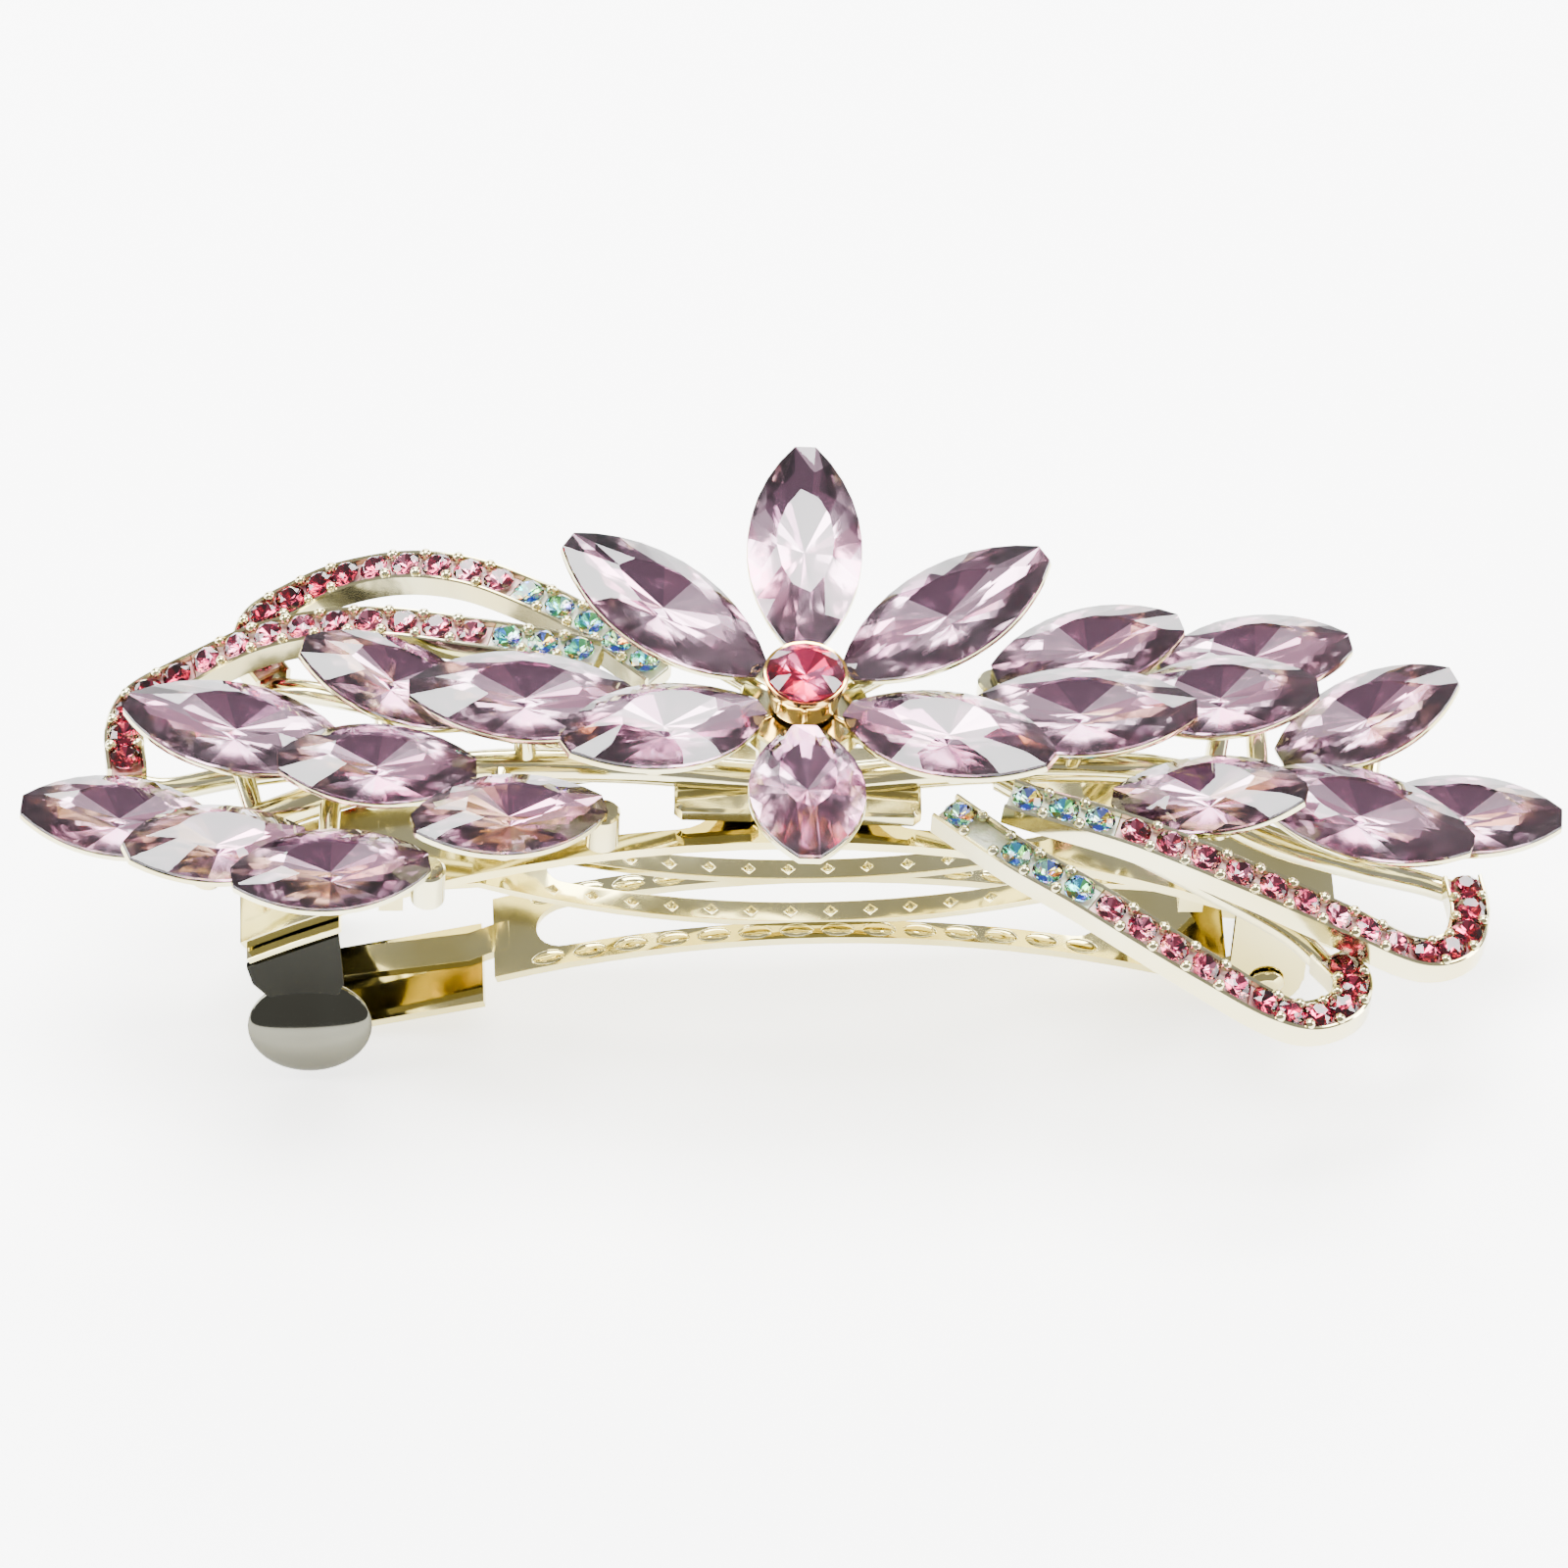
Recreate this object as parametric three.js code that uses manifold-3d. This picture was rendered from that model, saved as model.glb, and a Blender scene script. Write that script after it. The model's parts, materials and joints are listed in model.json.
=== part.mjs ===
// Rhinestone hair clip: a sprung snap barrette with a stone flower between two stone sprays.
// Millimetres, +Z up, +X along the clip from the catch to the hinge, +Y to the back.
// The model is drawn level, in the clip's own axes, and is set down on its feet at the end.
// The decoration is drawn above an origin on the crown of the base plate.
import * as THREE from 'three';
import { mergeVertices } from 'three/addons/utils/BufferGeometryUtils.js';
import Module from 'manifold-3d';

const wasm = await Module();
wasm.setup();

// ---------------------------------------------------------------- driving dimensions

const FIT_GAP = 0.3; // clearance between neighbours that touch or slide on the real clip

// Base plate: the curved top strip that carries everything.
const BASE_TOP_Z = 21.0; // its crown, in the level clip
const BASE_RADIUS = 70;
const BASE_HALF_LENGTH = 36;
const BASE_WIDTH = 8.4;
const BASE_SHEET = 0.7;
const BASE_RAIL = 1.5; // width of the rail left on each side of the long windows
const BASE_WINDOW_FROM = 5.0; // the long windows start and end this far from the middle
const BASE_WINDOW_TO = BASE_HALF_LENGTH - 18.5;
const BASE_HOLE_X = BASE_HALF_LENGTH - 15.8;
const BASE_HOLE_RADIUS = 1.1;

// Teeth pressed down along the rails of the base plate and the clasp arm.
const TOOTH_PITCH = 2.7;
const TOOTH_LENGTH = 2.2;
const TOOTH_WIDTH = 1.2;
const TOOTH_DEPTH = 0.75;
const TOOTH_EDGE = 0.1; // land left between a tooth and the edge of its sheet

// Hinge: ears on the base plate, lugs on the arm, one pin through all four.
const PIN_X = BASE_HALF_LENGTH - 4.5;
const PIN_Z = 7.3;
const PIN_RADIUS = 0.75;
const PIN_CLEARANCE = 0.15;
const PIN_HEAD_RADIUS = PIN_RADIUS + 0.45;
const PIN_HEAD_HEIGHT = 0.5;
const PIN_HEAD_EDGE = 0.15; // straight part of a pin head before it rounds off
const EAR_SHEET = 0.6;
const EAR_RADIUS = PIN_RADIUS + 1.65;
const EAR_HALF_LENGTH = EAR_RADIUS + 0.1;
const LUG_SHEET = 0.6;
const LUG_RADIUS = PIN_RADIUS + 1.15;
const LUG_FROM_X = PIN_X - 5.2;

// Catch: a sprung saddle on the base plate with a leg and a thumb pad on each side.
const CATCH_X = 3.4 - BASE_HALF_LENGTH;
const CATCH_SHEET = 0.5;
const CATCH_LENGTH = 6.0;
const CATCH_SIDE_GAP = 0.3; // between the base plate's edge and a leg
const CATCH_LEAN_DEG = 13;
const CATCH_NECK_Z = 6.2;
const CATCH_NECK_LENGTH = 4.2;
const CATCH_SHOULDER = 1.6; // height over which a leg narrows to its neck
const PAD_X = CATCH_X + 1.2;
const PAD_Z = 4.4;
const PAD_HALF_LENGTH = 4.1;
const PAD_HALF_HEIGHT = 3.3;
const PAD_HALF_THICKNESS = 0.75;
const PAD_FLARE_DEG = 24;
const PAD_STAND_OUT = 0.6; // of the pad's middle beyond the leg's outer face
const RIVET_RADIUS = 0.9;
const RIVET_HEAD_RADIUS = RIVET_RADIUS + 0.6;
const RIVET_HEAD_HEIGHT = 0.6;
const RIVET_HEAD_GAP = 0.1;

// Clasp arm: the lower strip that swings on the hinge pin.
const ARM_TOP_Z = 10.7;
const ARM_APEX_X = 4;
const ARM_RADIUS = 70;
const ARM_SIDE_GAP = 0.2; // between the arm and the inner faces of the ears
const ARM_WIDTH = BASE_WIDTH - 2 * (EAR_SHEET + ARM_SIDE_GAP);
const ARM_SHEET = 0.6;
const ARM_RAIL = 1.5;
const ARM_TO_X = PIN_X - 2.3;
const HEAD_X = PAD_X + 0.4; // centre of the fold that turns the neck back under itself
const HEAD_Z = 2.3;
const HEAD_FOLD_RADIUS = 1.6;
const HEAD_WIDTH = ARM_WIDTH;
const HEAD_END_X = HEAD_X + 11.2;
const HEAD_END_Z = 4.3;
const NECK_WIDTH = 2.4; // the narrow strip that the arm steps down to
const NECK_FROM_X = HEAD_X + 10.1;
const NECK_STEP = 0.9;
const ARM_FROM_X = NECK_FROM_X + 1.6;
const ARM_WINDOW_FROM = ARM_FROM_X + 2.8;
const ARM_WINDOW_TO = ARM_TO_X - 8.7;

// Tension bow: the sprung strip that bulges towards the arm.
const KEEPER_X = BASE_HALF_LENGTH - 9.8; // strap under each tongue of the bow
const KEEPER_LENGTH = 1.6;
const KEEPER_SHEET = 0.5;
const KEEPER_POST = 0.6;
const KEEPER_DROP = FIT_GAP + 0.15; // room between a tongue and the strap below it
const BOW_SHOULDER_X = KEEPER_X - 2.9;
const BOW_HALF_SPAN = BOW_SHOULDER_X - 2.8; // half length of the curved middle
const BOW_CREST = 0.25; // how far the ends of the curve stand above the shoulders
const BOW_TIP_X = KEEPER_X + 2.2;
const BOW_WIDTH = 5.4;
const BOW_SHEET = 0.5;
const BOW_WINDOW_HALF = BOW_HALF_SPAN - 4.5;
const BOW_SLOT = 2.0; // width of the long slot between its rails
const BOW_TONGUE_WIDTH = 3.0;
const BOW_CORNER = 0.5; // cut off each corner of a tongue
const BOW_TRAVEL = 1.0; // how far the bow can be pressed towards the base plate
const DIMPLE_PITCH = 2.6;
const DIMPLE_RADIUS = 0.6;
const DIMPLE_DEPTH = 0.25;

// Flower and spray stones: pointed ovals with a table on top and a keel below.
const LARGE_STONE = { length: 15, width: 7, crown: 1.2, depth: 1.7 };
const SMALL_STONE = { length: 12.7, width: 6.3, crown: 1.1, depth: 1.6 };
const STONE_TABLE = 0.55; // share of the stone's outline that the flat table covers
const CUP_LIP = 0.25; // how far a cup's rim stands out past its stone
const CUP_SHEET = 0.5;
const CUP_FOOT = 0.4; // share of the outline left at the bottom of a cup

// Flower.
const FLOWER_TIP_Z = 14.0; // outer tips of the petals
const PETAL_COUNT = 6;
const PETAL_INNER_RADIUS = 3.2;
const PETAL_RISE_DEG = 15;
const FLOWER_HUB_RADIUS = 4.2;
const FLOWER_HUB_HEIGHT = 1.4;
const PEG_RADIUS = 1.7; // of the upright that carries the flower
const CENTRE_RADIUS = 2.5;
const CENTRE_GIRDLE_Z = 11.7;
const CENTRE_CROWN = 0.8;
const CENTRE_DEPTH = 1.2;
const COLLAR_WALL = 0.25;
const COLLAR_HEIGHT = 2.4;

// Sprays: the left one is drawn; the right one is the same casting turned half round.
const DECORATION_YAW_DEG = -2;
const SPRAY_LEAVES = [
  { stone: SMALL_STONE, centre: [-43.8, -1.7, -2.0], headingDeg: 176, riseDeg: 3 },
  { stone: SMALL_STONE, centre: [-37.3, -6.9, 1.5], headingDeg: -158, riseDeg: 15 },
  { stone: SMALL_STONE, centre: [-30.0, -10.5, 3.3], headingDeg: -170, riseDeg: 2 },
  { stone: LARGE_STONE, centre: [-36.4, 2.4, 2.4], headingDeg: 163, riseDeg: -2 },
  { stone: SMALL_STONE, centre: [-27.2, -4.0, 6.3], headingDeg: -176, riseDeg: 5 },
  { stone: SMALL_STONE, centre: [-18.7, -7.9, 6.2], headingDeg: -164, riseDeg: 7 },
  { stone: SMALL_STONE, centre: [-26.2, 4.0, 5.6], headingDeg: 169, riseDeg: 16 },
  { stone: LARGE_STONE, centre: [-17.8, 0.0, 8.8], headingDeg: -179, riseDeg: 4 },
];
const SPINE_RADIUS = 1.1;
const SPINE_POINTS = [
  [-2.8, 0, 1.5], [-12, -0.4, 2.6], [-22, -0.8, 2.4], [-30, -1.2, 0.0], [-38, -1.8, -3.8], [-43, -1.8, -5.4],
];
const SPRAY_FOOT = { from: -8, to: -2.5, width: 6, height: 1.2 };
const SPINE_ROOTS = 24; // places along the spine where a branch may start
const BRANCH_RADIUS = 0.7;
const BOSS_RADIUS = 1.0;
const BOSS_HEIGHT = 1.0;
const STUB_RADIUS = 1.1; // round stubs under the inner tips of the two front leaves
const STUB_LENGTH = 3.4;
const STUB_LEAVES = [2, 5];

// Hairpin loops of small round stones set in a channel.
const CHANNEL_WIDTH = 2.6;
const CHANNEL_WALL = 0.3;
const CHANNEL_HEIGHT = 1.9;
const CHANNEL_GROOVE = 0.8;
const BED_SIDE_GAP = 0.2;
const BED_HEIGHT = 0.5;
const CHATON_RADIUS = 0.95;
const CHATON_TABLE_RADIUS = 0.6;
const CHATON_HEIGHT = 0.55;
const CHATON_PITCH = { aurora: 2.42, rose: 2.42, deep_rose: 2.0 }; // closer round the turn
const RETURN_RADIUS = 0.8;
const LOOPS = [
  {
    name: 'outer',
    runs: { aurora: 5, rose: 5, deep_rose: 6 },
    channel: [
      [-9.2, 5.5, 6.0], [-13.8, 9.6, 6.0], [-17.9, 12.4, 5.8], [-22.0, 14.9, 5.0], [-26.3, 16.7, 3.4],
      [-30.5, 17.5, 1.1], [-33.0, 17.0, -0.3], [-35.2, 15.4, -0.8], [-35.7, 13.2, -1.0], [-34.2, 10.6, -1.2],
    ],
    back: [[-34.4, 10.9, -3.3], [-32.0, 9.4, -1.8], [-26.0, 6.6, -0.2], [-19.0, 3.6, 1.4], [-13.0, 0.4, 2.4]],
  },
  {
    name: 'inner',
    runs: { aurora: 3, rose: 9, deep_rose: 5 },
    channel: [
      [-13.3, 5.6, 7.4], [-14.5, 6.0, 7.3], [-21.5, 7.9, 6.6], [-28.5, 10.0, 5.1], [-35.3, 11.0, 2.2],
      [-40.9, 10.4, -1.4], [-43.0, 9.0, -2.0], [-43.8, 6.4, -2.1], [-43.5, 3.0, -2.3],
    ],
    back: [[-43.5, 3.3, -4.4], [-41.2, 2.6, -4.2], [-36.5, 2.6, -2.8], [-30.0, 2.0, -0.8], [-24.0, 0.0, 1.6]],
  },
];

// Seats that hold no stone.
const EMPTY_SEATS = { right_outer_aurora_pave: [1] };

// Finishes.
const LIGHT_GOLD = { color: 0xd9d2ae, roughness: 0.18, metalness: 1 };
const DARK_GOLD = { color: 0x8d8a7c, roughness: 0.15, metalness: 1 };
const CAST_GOLD = { color: 0xd6cfae, roughness: 0.3, metalness: 1 };
const PALE_PINK = { color: 0xe6b9cb, roughness: 0.05, metalness: 0 };
const HOT_PINK = { color: 0xd1245e, roughness: 0.05, metalness: 0 };
const ROSE = { color: 0xc9657e, roughness: 0.1, metalness: 0 };
const DEEP_ROSE = { color: 0xa32750, roughness: 0.1, metalness: 0 };
const AURORA = { color: 0xa9d3cf, roughness: 0.1, metalness: 0 };
const RUN_FINISH = { aurora: AURORA, rose: ROSE, deep_rose: DEEP_ROSE };

// ---------------------------------------------------------------- small tools

const deg = THREE.MathUtils.degToRad;
const vec = (p) => new THREE.Vector3(...p);

function toSolid(geometry) {
  const bare = geometry.clone();
  bare.deleteAttribute('normal');
  bare.deleteAttribute('uv');
  const merged = mergeVertices(bare, 1e-4);
  const vertProperties = new Float32Array(merged.attributes.position.array);
  const triVerts = new Uint32Array(merged.index.array);
  return new wasm.Manifold(new wasm.Mesh({ numProp: 3, vertProperties, triVerts }));
}

function toGeometry(solid) {
  const mesh = solid.getMesh();
  const geometry = new THREE.BufferGeometry();
  geometry.setAttribute('position', new THREE.BufferAttribute(new Float32Array(mesh.vertProperties), 3));
  geometry.setIndex(new THREE.BufferAttribute(new Uint32Array(mesh.triVerts), 1));
  return geometry;
}

const addAll = (solids) => solids.reduce((sum, solid) => sum.add(solid));
const cutAll = (solid, cutters) => cutters.reduce((rest, cutter) => rest.subtract(cutter), solid);

// A solid whose side view (points of x and z) is carried across the clip between two y values.
function sideSolid(points, yFrom, yTo) {
  const shape = new THREE.Shape(points.map(([x, z]) => new THREE.Vector2(x, z)));
  const geometry = new THREE.ExtrudeGeometry(shape, { depth: yTo - yFrom, bevelEnabled: false });
  geometry.rotateX(Math.PI / 2);
  geometry.translate(0, yTo, 0);
  return toSolid(geometry);
}

// A solid whose plan view is a shape in x and y, between two heights.
function planSolid(shape, zFrom, zTo) {
  const size = { depth: zTo - zFrom, bevelEnabled: false, curveSegments: 6 };
  const geometry = new THREE.ExtrudeGeometry(shape, size);
  geometry.translate(0, 0, zFrom);
  return toSolid(geometry);
}

function boxSolid(xFrom, xTo, yFrom, yTo, zFrom, zTo) {
  const geometry = new THREE.BoxGeometry(xTo - xFrom, yTo - yFrom, zTo - zFrom);
  geometry.translate((xFrom + xTo) / 2, (yFrom + yTo) / 2, (zFrom + zTo) / 2);
  return toSolid(geometry);
}

// A round bar across the clip (along y) at a point of its side view.
function crossBar(x, z, radius, yFrom, yTo, sides = 16) {
  const geometry = new THREE.CylinderGeometry(radius, radius, yTo - yFrom, sides);
  geometry.translate(x, (yFrom + yTo) / 2, z);
  return toSolid(geometry);
}

function uprightBar(x, y, radius, zFrom, zTo, sides = 12) {
  const geometry = new THREE.CylinderGeometry(radius, radius, zTo - zFrom, sides);
  geometry.rotateX(Math.PI / 2);
  geometry.translate(x, y, (zFrom + zTo) / 2);
  return toSolid(geometry);
}

function slotShape(xFrom, xTo, halfWidth) {
  const shape = new THREE.Shape();
  shape.moveTo(xFrom + halfWidth, -halfWidth);
  shape.lineTo(xTo - halfWidth, -halfWidth);
  shape.absarc(xTo - halfWidth, 0, halfWidth, -Math.PI / 2, Math.PI / 2, false);
  shape.lineTo(xFrom + halfWidth, halfWidth);
  shape.absarc(xFrom + halfWidth, 0, halfWidth, Math.PI / 2, (3 * Math.PI) / 2, false);
  return shape;
}

// A closed surface through rings of equal point count; a ring of one point is a tip.
function loft(rings) {
  const positions = [];
  const index = [];
  const starts = rings.map((ring) => {
    const start = positions.length / 3;
    ring.forEach((p) => positions.push(p.x, p.y, p.z));
    return start;
  });
  const join = (a, b, c) => index.push(a, b, c);
  for (let r = 0; r + 1 < rings.length; r += 1) {
    const [upper, lower] = [rings[r].length, rings[r + 1].length];
    const count = Math.max(upper, lower);
    for (let i = 0; i < count; i += 1) {
      const next = (i + 1) % count;
      const a = starts[r] + (upper > 1 ? i : 0);
      const b = starts[r] + (upper > 1 ? next : 0);
      const c = starts[r + 1] + (lower > 1 ? i : 0);
      const d = starts[r + 1] + (lower > 1 ? next : 0);
      if (lower > 1) join(a, c, d);
      if (upper > 1) join(a, d, b);
    }
  }
  const geometry = new THREE.BufferGeometry();
  geometry.setAttribute('position', new THREE.Float32BufferAttribute(positions, 3));
  geometry.setIndex(index);
  return geometry;
}

// A section (points of side and height, anticlockwise seen from behind) swept along a curve, kept upright.
function sweep(section, curve, steps, lift = 0) {
  const positions = [];
  const index = [];
  const size = section.length;
  for (let s = 0; s <= steps; s += 1) {
    const point = curve.getPointAt(s / steps);
    const tangent = curve.getTangentAt(s / steps);
    const side = new THREE.Vector3(0, 0, 1).cross(tangent).normalize();
    const up = tangent.clone().cross(side);
    section.forEach(([u, v]) => {
      const p = point.clone().addScaledVector(side, u).addScaledVector(up, v + lift);
      positions.push(p.x, p.y, p.z);
    });
  }
  for (let s = 0; s < steps; s += 1) {
    for (let i = 0; i < size; i += 1) {
      const a = s * size + i;
      const b = s * size + ((i + 1) % size);
      index.push(a, b, b + size, a, b + size, a + size);
    }
  }
  const flat = section.map(([u, v]) => new THREE.Vector2(u, v));
  THREE.ShapeUtils.triangulateShape(flat, []).forEach(([a, b, c]) => {
    index.push(a, c, b);
    index.push(steps * size + a, steps * size + b, steps * size + c);
  });
  const geometry = new THREE.BufferGeometry();
  geometry.setAttribute('position', new THREE.Float32BufferAttribute(positions, 3));
  geometry.setIndex(index);
  return toSolid(geometry);
}

function roundSection(radius, sides) {
  return Array.from({ length: sides }, (_, i) => {
    const a = (2 * Math.PI * (i + 0.5)) / sides;
    return [radius * Math.cos(a), radius * Math.sin(a)];
  });
}

const rodAlong = (points, radius, steps) =>
  sweep(roundSection(radius, 6), new THREE.CatmullRomCurve3(points.map(vec), false, 'centripetal'), steps);

function rodBetween(from, to, radius) {
  return sweep(roundSection(radius, 6), new THREE.LineCurve3(vec(from), vec(to)), 1);
}

function finished(name, geometry, finish) {
  const flat = geometry.index ? geometry.toNonIndexed() : geometry;
  flat.computeVertexNormals();
  const mesh = new THREE.Mesh(flat, new THREE.MeshStandardMaterial({ ...finish, flatShading: true }));
  mesh.name = name;
  return mesh;
}

// ---------------------------------------------------------------- curved strips

// Height of a frown or smile curve: positive bend droops at the ends, negative bend rises.
const arcHeight = (x, apexX, apexZ, radius, bend) =>
  apexZ - bend * (radius - Math.sqrt(radius * radius - (x - apexX) ** 2));
const baseTop = (x) => arcHeight(x, 0, BASE_TOP_Z, BASE_RADIUS, 1);
const baseUnder = (x) => baseTop(x) - BASE_SHEET;
const armTop = (x) => arcHeight(x, ARM_APEX_X, ARM_TOP_Z, ARM_RADIUS, 1);

// Top face of the bow's tongue, which runs under the base plate with room to be pressed up.
const tongueTop = (x) => baseUnder(x) - BOW_TRAVEL - FIT_GAP;

// The bow's middle clears the arm, and its curve ends a little above its shoulders.
const BOW_TOP_Z = ARM_TOP_Z + FIT_GAP + BOW_SHEET;
const BOW_RISE = tongueTop(BOW_SHOULDER_X) + BOW_CREST - BOW_TOP_Z;
const BOW_RADIUS = (BOW_HALF_SPAN ** 2 + BOW_RISE ** 2) / (2 * BOW_RISE);
const bowTop = (x) => arcHeight(x, 0, BOW_TOP_Z, BOW_RADIUS, -1);

// Side view of a sheet that follows a line of points on its top face.
function sheetBand(line, thickness) {
  const below = line.map((p, i) => {
    const before = line[Math.max(i - 1, 0)];
    const after = line[Math.min(i + 1, line.length - 1)];
    const run = new THREE.Vector2(after[0] - before[0], after[1] - before[1]).normalize();
    return [p[0] + run.y * thickness, p[1] - run.x * thickness];
  });
  return [...below, ...line.slice().reverse()];
}

function sampled(height, from, to, steps) {
  return Array.from({ length: steps + 1 }, (_, i) => {
    const x = from + ((to - from) * i) / steps;
    return [x, height(x)];
  });
}

// Four-sided teeth pressed down along both rails of a sheet, evenly spaced and centred.
function pressedTeeth(under, sheet, from, to, edgeY) {
  const count = Math.floor((to - from - TOOTH_LENGTH) / TOOTH_PITCH);
  const first = (from + to) / 2 - (count * TOOTH_PITCH) / 2;
  const teeth = [];
  for (let i = 0; i <= count; i += 1) {
    const x = first + i * TOOTH_PITCH;
    for (const side of [-1, 1]) {
      const tooth = new THREE.ConeGeometry(Math.SQRT1_2, 1, 4, 1, false, Math.PI / 4);
      tooth.rotateX(-Math.PI / 2);
      tooth.scale(TOOTH_LENGTH, TOOTH_WIDTH, TOOTH_DEPTH + sheet / 2);
      tooth.rotateY(-Math.atan(under(x + 0.5) - under(x - 0.5)));
      const y = side * (edgeY - TOOTH_EDGE - TOOTH_WIDTH / 2);
      tooth.translate(x, y, under(x) + sheet / 4 - TOOTH_DEPTH / 2);
      teeth.push(toSolid(tooth));
    }
  }
  return teeth;
}

// ---------------------------------------------------------------- clip mechanism

function basePlate() {
  const half = BASE_WIDTH / 2;
  const strip = sideSolid(
    sheetBand(sampled(baseTop, -BASE_HALF_LENGTH, BASE_HALF_LENGTH, 20), BASE_SHEET), -half, half);
  const ears = [-1, 1].map((side) => {
    const yOuter = side * half;
    const yInner = side * (half - EAR_SHEET);
    const [low, high] = [Math.min(yOuter, yInner), Math.max(yOuter, yInner)];
    const plate = [
      [PIN_X - EAR_HALF_LENGTH, PIN_Z],
      [PIN_X + EAR_HALF_LENGTH, PIN_Z],
      [PIN_X + EAR_HALF_LENGTH, baseTop(PIN_X + EAR_HALF_LENGTH) - BASE_SHEET / 2],
      [PIN_X - EAR_HALF_LENGTH, baseTop(PIN_X - EAR_HALF_LENGTH) - BASE_SHEET / 2],
    ];
    return sideSolid(plate, low, high).add(crossBar(PIN_X, PIN_Z, EAR_RADIUS, low, high, 20));
  });
  const keepers = [-1, 1].flatMap((end) => bowKeeper(end * KEEPER_X));
  const teeth = pressedTeeth(baseUnder, BASE_SHEET, -BASE_WINDOW_TO, BASE_WINDOW_TO, half);
  const windowHalf = half - BASE_RAIL;
  const windows = [-1, 1].map((end) => {
    const from = Math.min(end * BASE_WINDOW_FROM, end * BASE_WINDOW_TO);
    const to = Math.max(end * BASE_WINDOW_FROM, end * BASE_WINDOW_TO);
    return planSolid(slotShape(from, to, windowHalf), 0, BASE_TOP_Z + 1);
  });
  const holes = [-1, 1].map((end) => uprightBar(end * BASE_HOLE_X, 0, BASE_HOLE_RADIUS, 0, BASE_TOP_Z));
  const pinHole = crossBar(PIN_X, PIN_Z, PIN_RADIUS + PIN_CLEARANCE, -half - 1, half + 1);
  const whole = addAll([strip, ...ears, ...keepers, ...teeth]);
  return toGeometry(cutAll(whole, [...windows, ...holes, pinHole, rivetHole()]));
}

function bowKeeper(x) {
  const inner = BOW_TONGUE_WIDTH / 2 + FIT_GAP;
  const barTop = tongueTop(x + Math.sign(x) * KEEPER_LENGTH / 2) - BOW_SHEET - KEEPER_DROP;
  const [from, to] = [x - KEEPER_LENGTH / 2, x + KEEPER_LENGTH / 2];
  const top = baseUnder(x) + BASE_SHEET / 2;
  return [
    boxSolid(from, to, -inner - KEEPER_POST, inner + KEEPER_POST, barTop - KEEPER_SHEET, barTop),
    boxSolid(from, to, -inner - KEEPER_POST, -inner, barTop - KEEPER_SHEET / 2, top),
    boxSolid(from, to, inner, inner + KEEPER_POST, barTop - KEEPER_SHEET / 2, top),
  ];
}

function bowOutline() {
  const shape = new THREE.Shape();
  const half = BOW_WIDTH / 2;
  const tongue = BOW_TONGUE_WIDTH / 2;
  const stepX = KEEPER_X - KEEPER_LENGTH / 2 - FIT_GAP * 2;
  const corners = [
    [BOW_SHOULDER_X, half], [stepX, half - BOW_CORNER], [stepX, tongue], [BOW_TIP_X - BOW_CORNER, tongue],
    [BOW_TIP_X, tongue - BOW_CORNER],
  ];
  const right = [...corners, ...corners.slice().reverse().map(([x, y]) => [x, -y])];
  const left = right.map(([x, y]) => [-x, -y]);
  shape.setFromPoints([...right, ...left].map(([x, y]) => new THREE.Vector2(x, y)).reverse());
  return shape;
}

function tensionBow() {
  const middle = sampled(bowTop, -BOW_HALF_SPAN, BOW_HALF_SPAN, 18);
  const shoulder = [BOW_SHOULDER_X, tongueTop(BOW_SHOULDER_X)];
  const tip = [BOW_TIP_X + FIT_GAP, tongueTop(BOW_TIP_X + FIT_GAP)];
  const flip = ([x, z]) => [-x, z];
  const line = [flip(tip), flip(shoulder), ...middle, shoulder, tip];
  const strip = sideSolid(sheetBand(line, BOW_SHEET), -BOW_WIDTH / 2, BOW_WIDTH / 2);
  const outline = planSolid(bowOutline(), 0, BASE_TOP_Z);
  const slot = planSolid(slotShape(-BOW_WINDOW_HALF, BOW_WINDOW_HALF, BOW_SLOT / 2), 0, BASE_TOP_Z);
  const dimples = [];
  const count = Math.floor(BOW_WINDOW_HALF / DIMPLE_PITCH);
  for (let i = -count; i <= count; i += 1) {
    const x = i * DIMPLE_PITCH;
    for (const side of [-1, 1]) {
      const dimple = new THREE.CylinderGeometry(DIMPLE_RADIUS, DIMPLE_RADIUS / 3, DIMPLE_DEPTH * 2, 4);
      dimple.rotateX(Math.PI / 2);
      dimple.translate(x, (side * (BOW_WIDTH + BOW_SLOT)) / 4, bowTop(x));
      dimples.push(toSolid(dimple));
    }
  }
  return toGeometry(cutAll(strip.intersect(outline), [slot, ...dimples]));
}

// The arm's line runs from the hinge end, down the step to the neck, round the fold and back along the head.
function neckAndHead() {
  const foldTop = [HEAD_X, HEAD_Z + HEAD_FOLD_RADIUS];
  const neckTop = [NECK_FROM_X, armTop(ARM_FROM_X) - NECK_STEP];
  const slope = Math.atan2(neckTop[1] - foldTop[1], neckTop[0] - foldTop[0]);
  const fold = [];
  const foldSteps = 8;
  for (let i = 0; i <= foldSteps; i += 1) {
    const a = Math.PI / 2 + slope + (Math.PI * i) / foldSteps;
    fold.push([HEAD_X + HEAD_FOLD_RADIUS * Math.cos(a), HEAD_Z + HEAD_FOLD_RADIUS * Math.sin(a)]);
  }
  const root = [ARM_FROM_X, ARM_FROM_X + 1].map((x) => [x, armTop(x)]);
  const neck = sideSolid(
    sheetBand([...fold.slice(0, foldSteps / 2 + 1).reverse(), neckTop, ...root], ARM_SHEET),
    -NECK_WIDTH / 2, NECK_WIDTH / 2);
  const headLine = [[HEAD_END_X, HEAD_END_Z - ARM_SHEET], ...fold.slice(foldSteps / 2).reverse()];
  const head = sideSolid(sheetBand(headLine, ARM_SHEET), -HEAD_WIDTH / 2, HEAD_WIDTH / 2);
  return neck.add(head);
}

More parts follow.
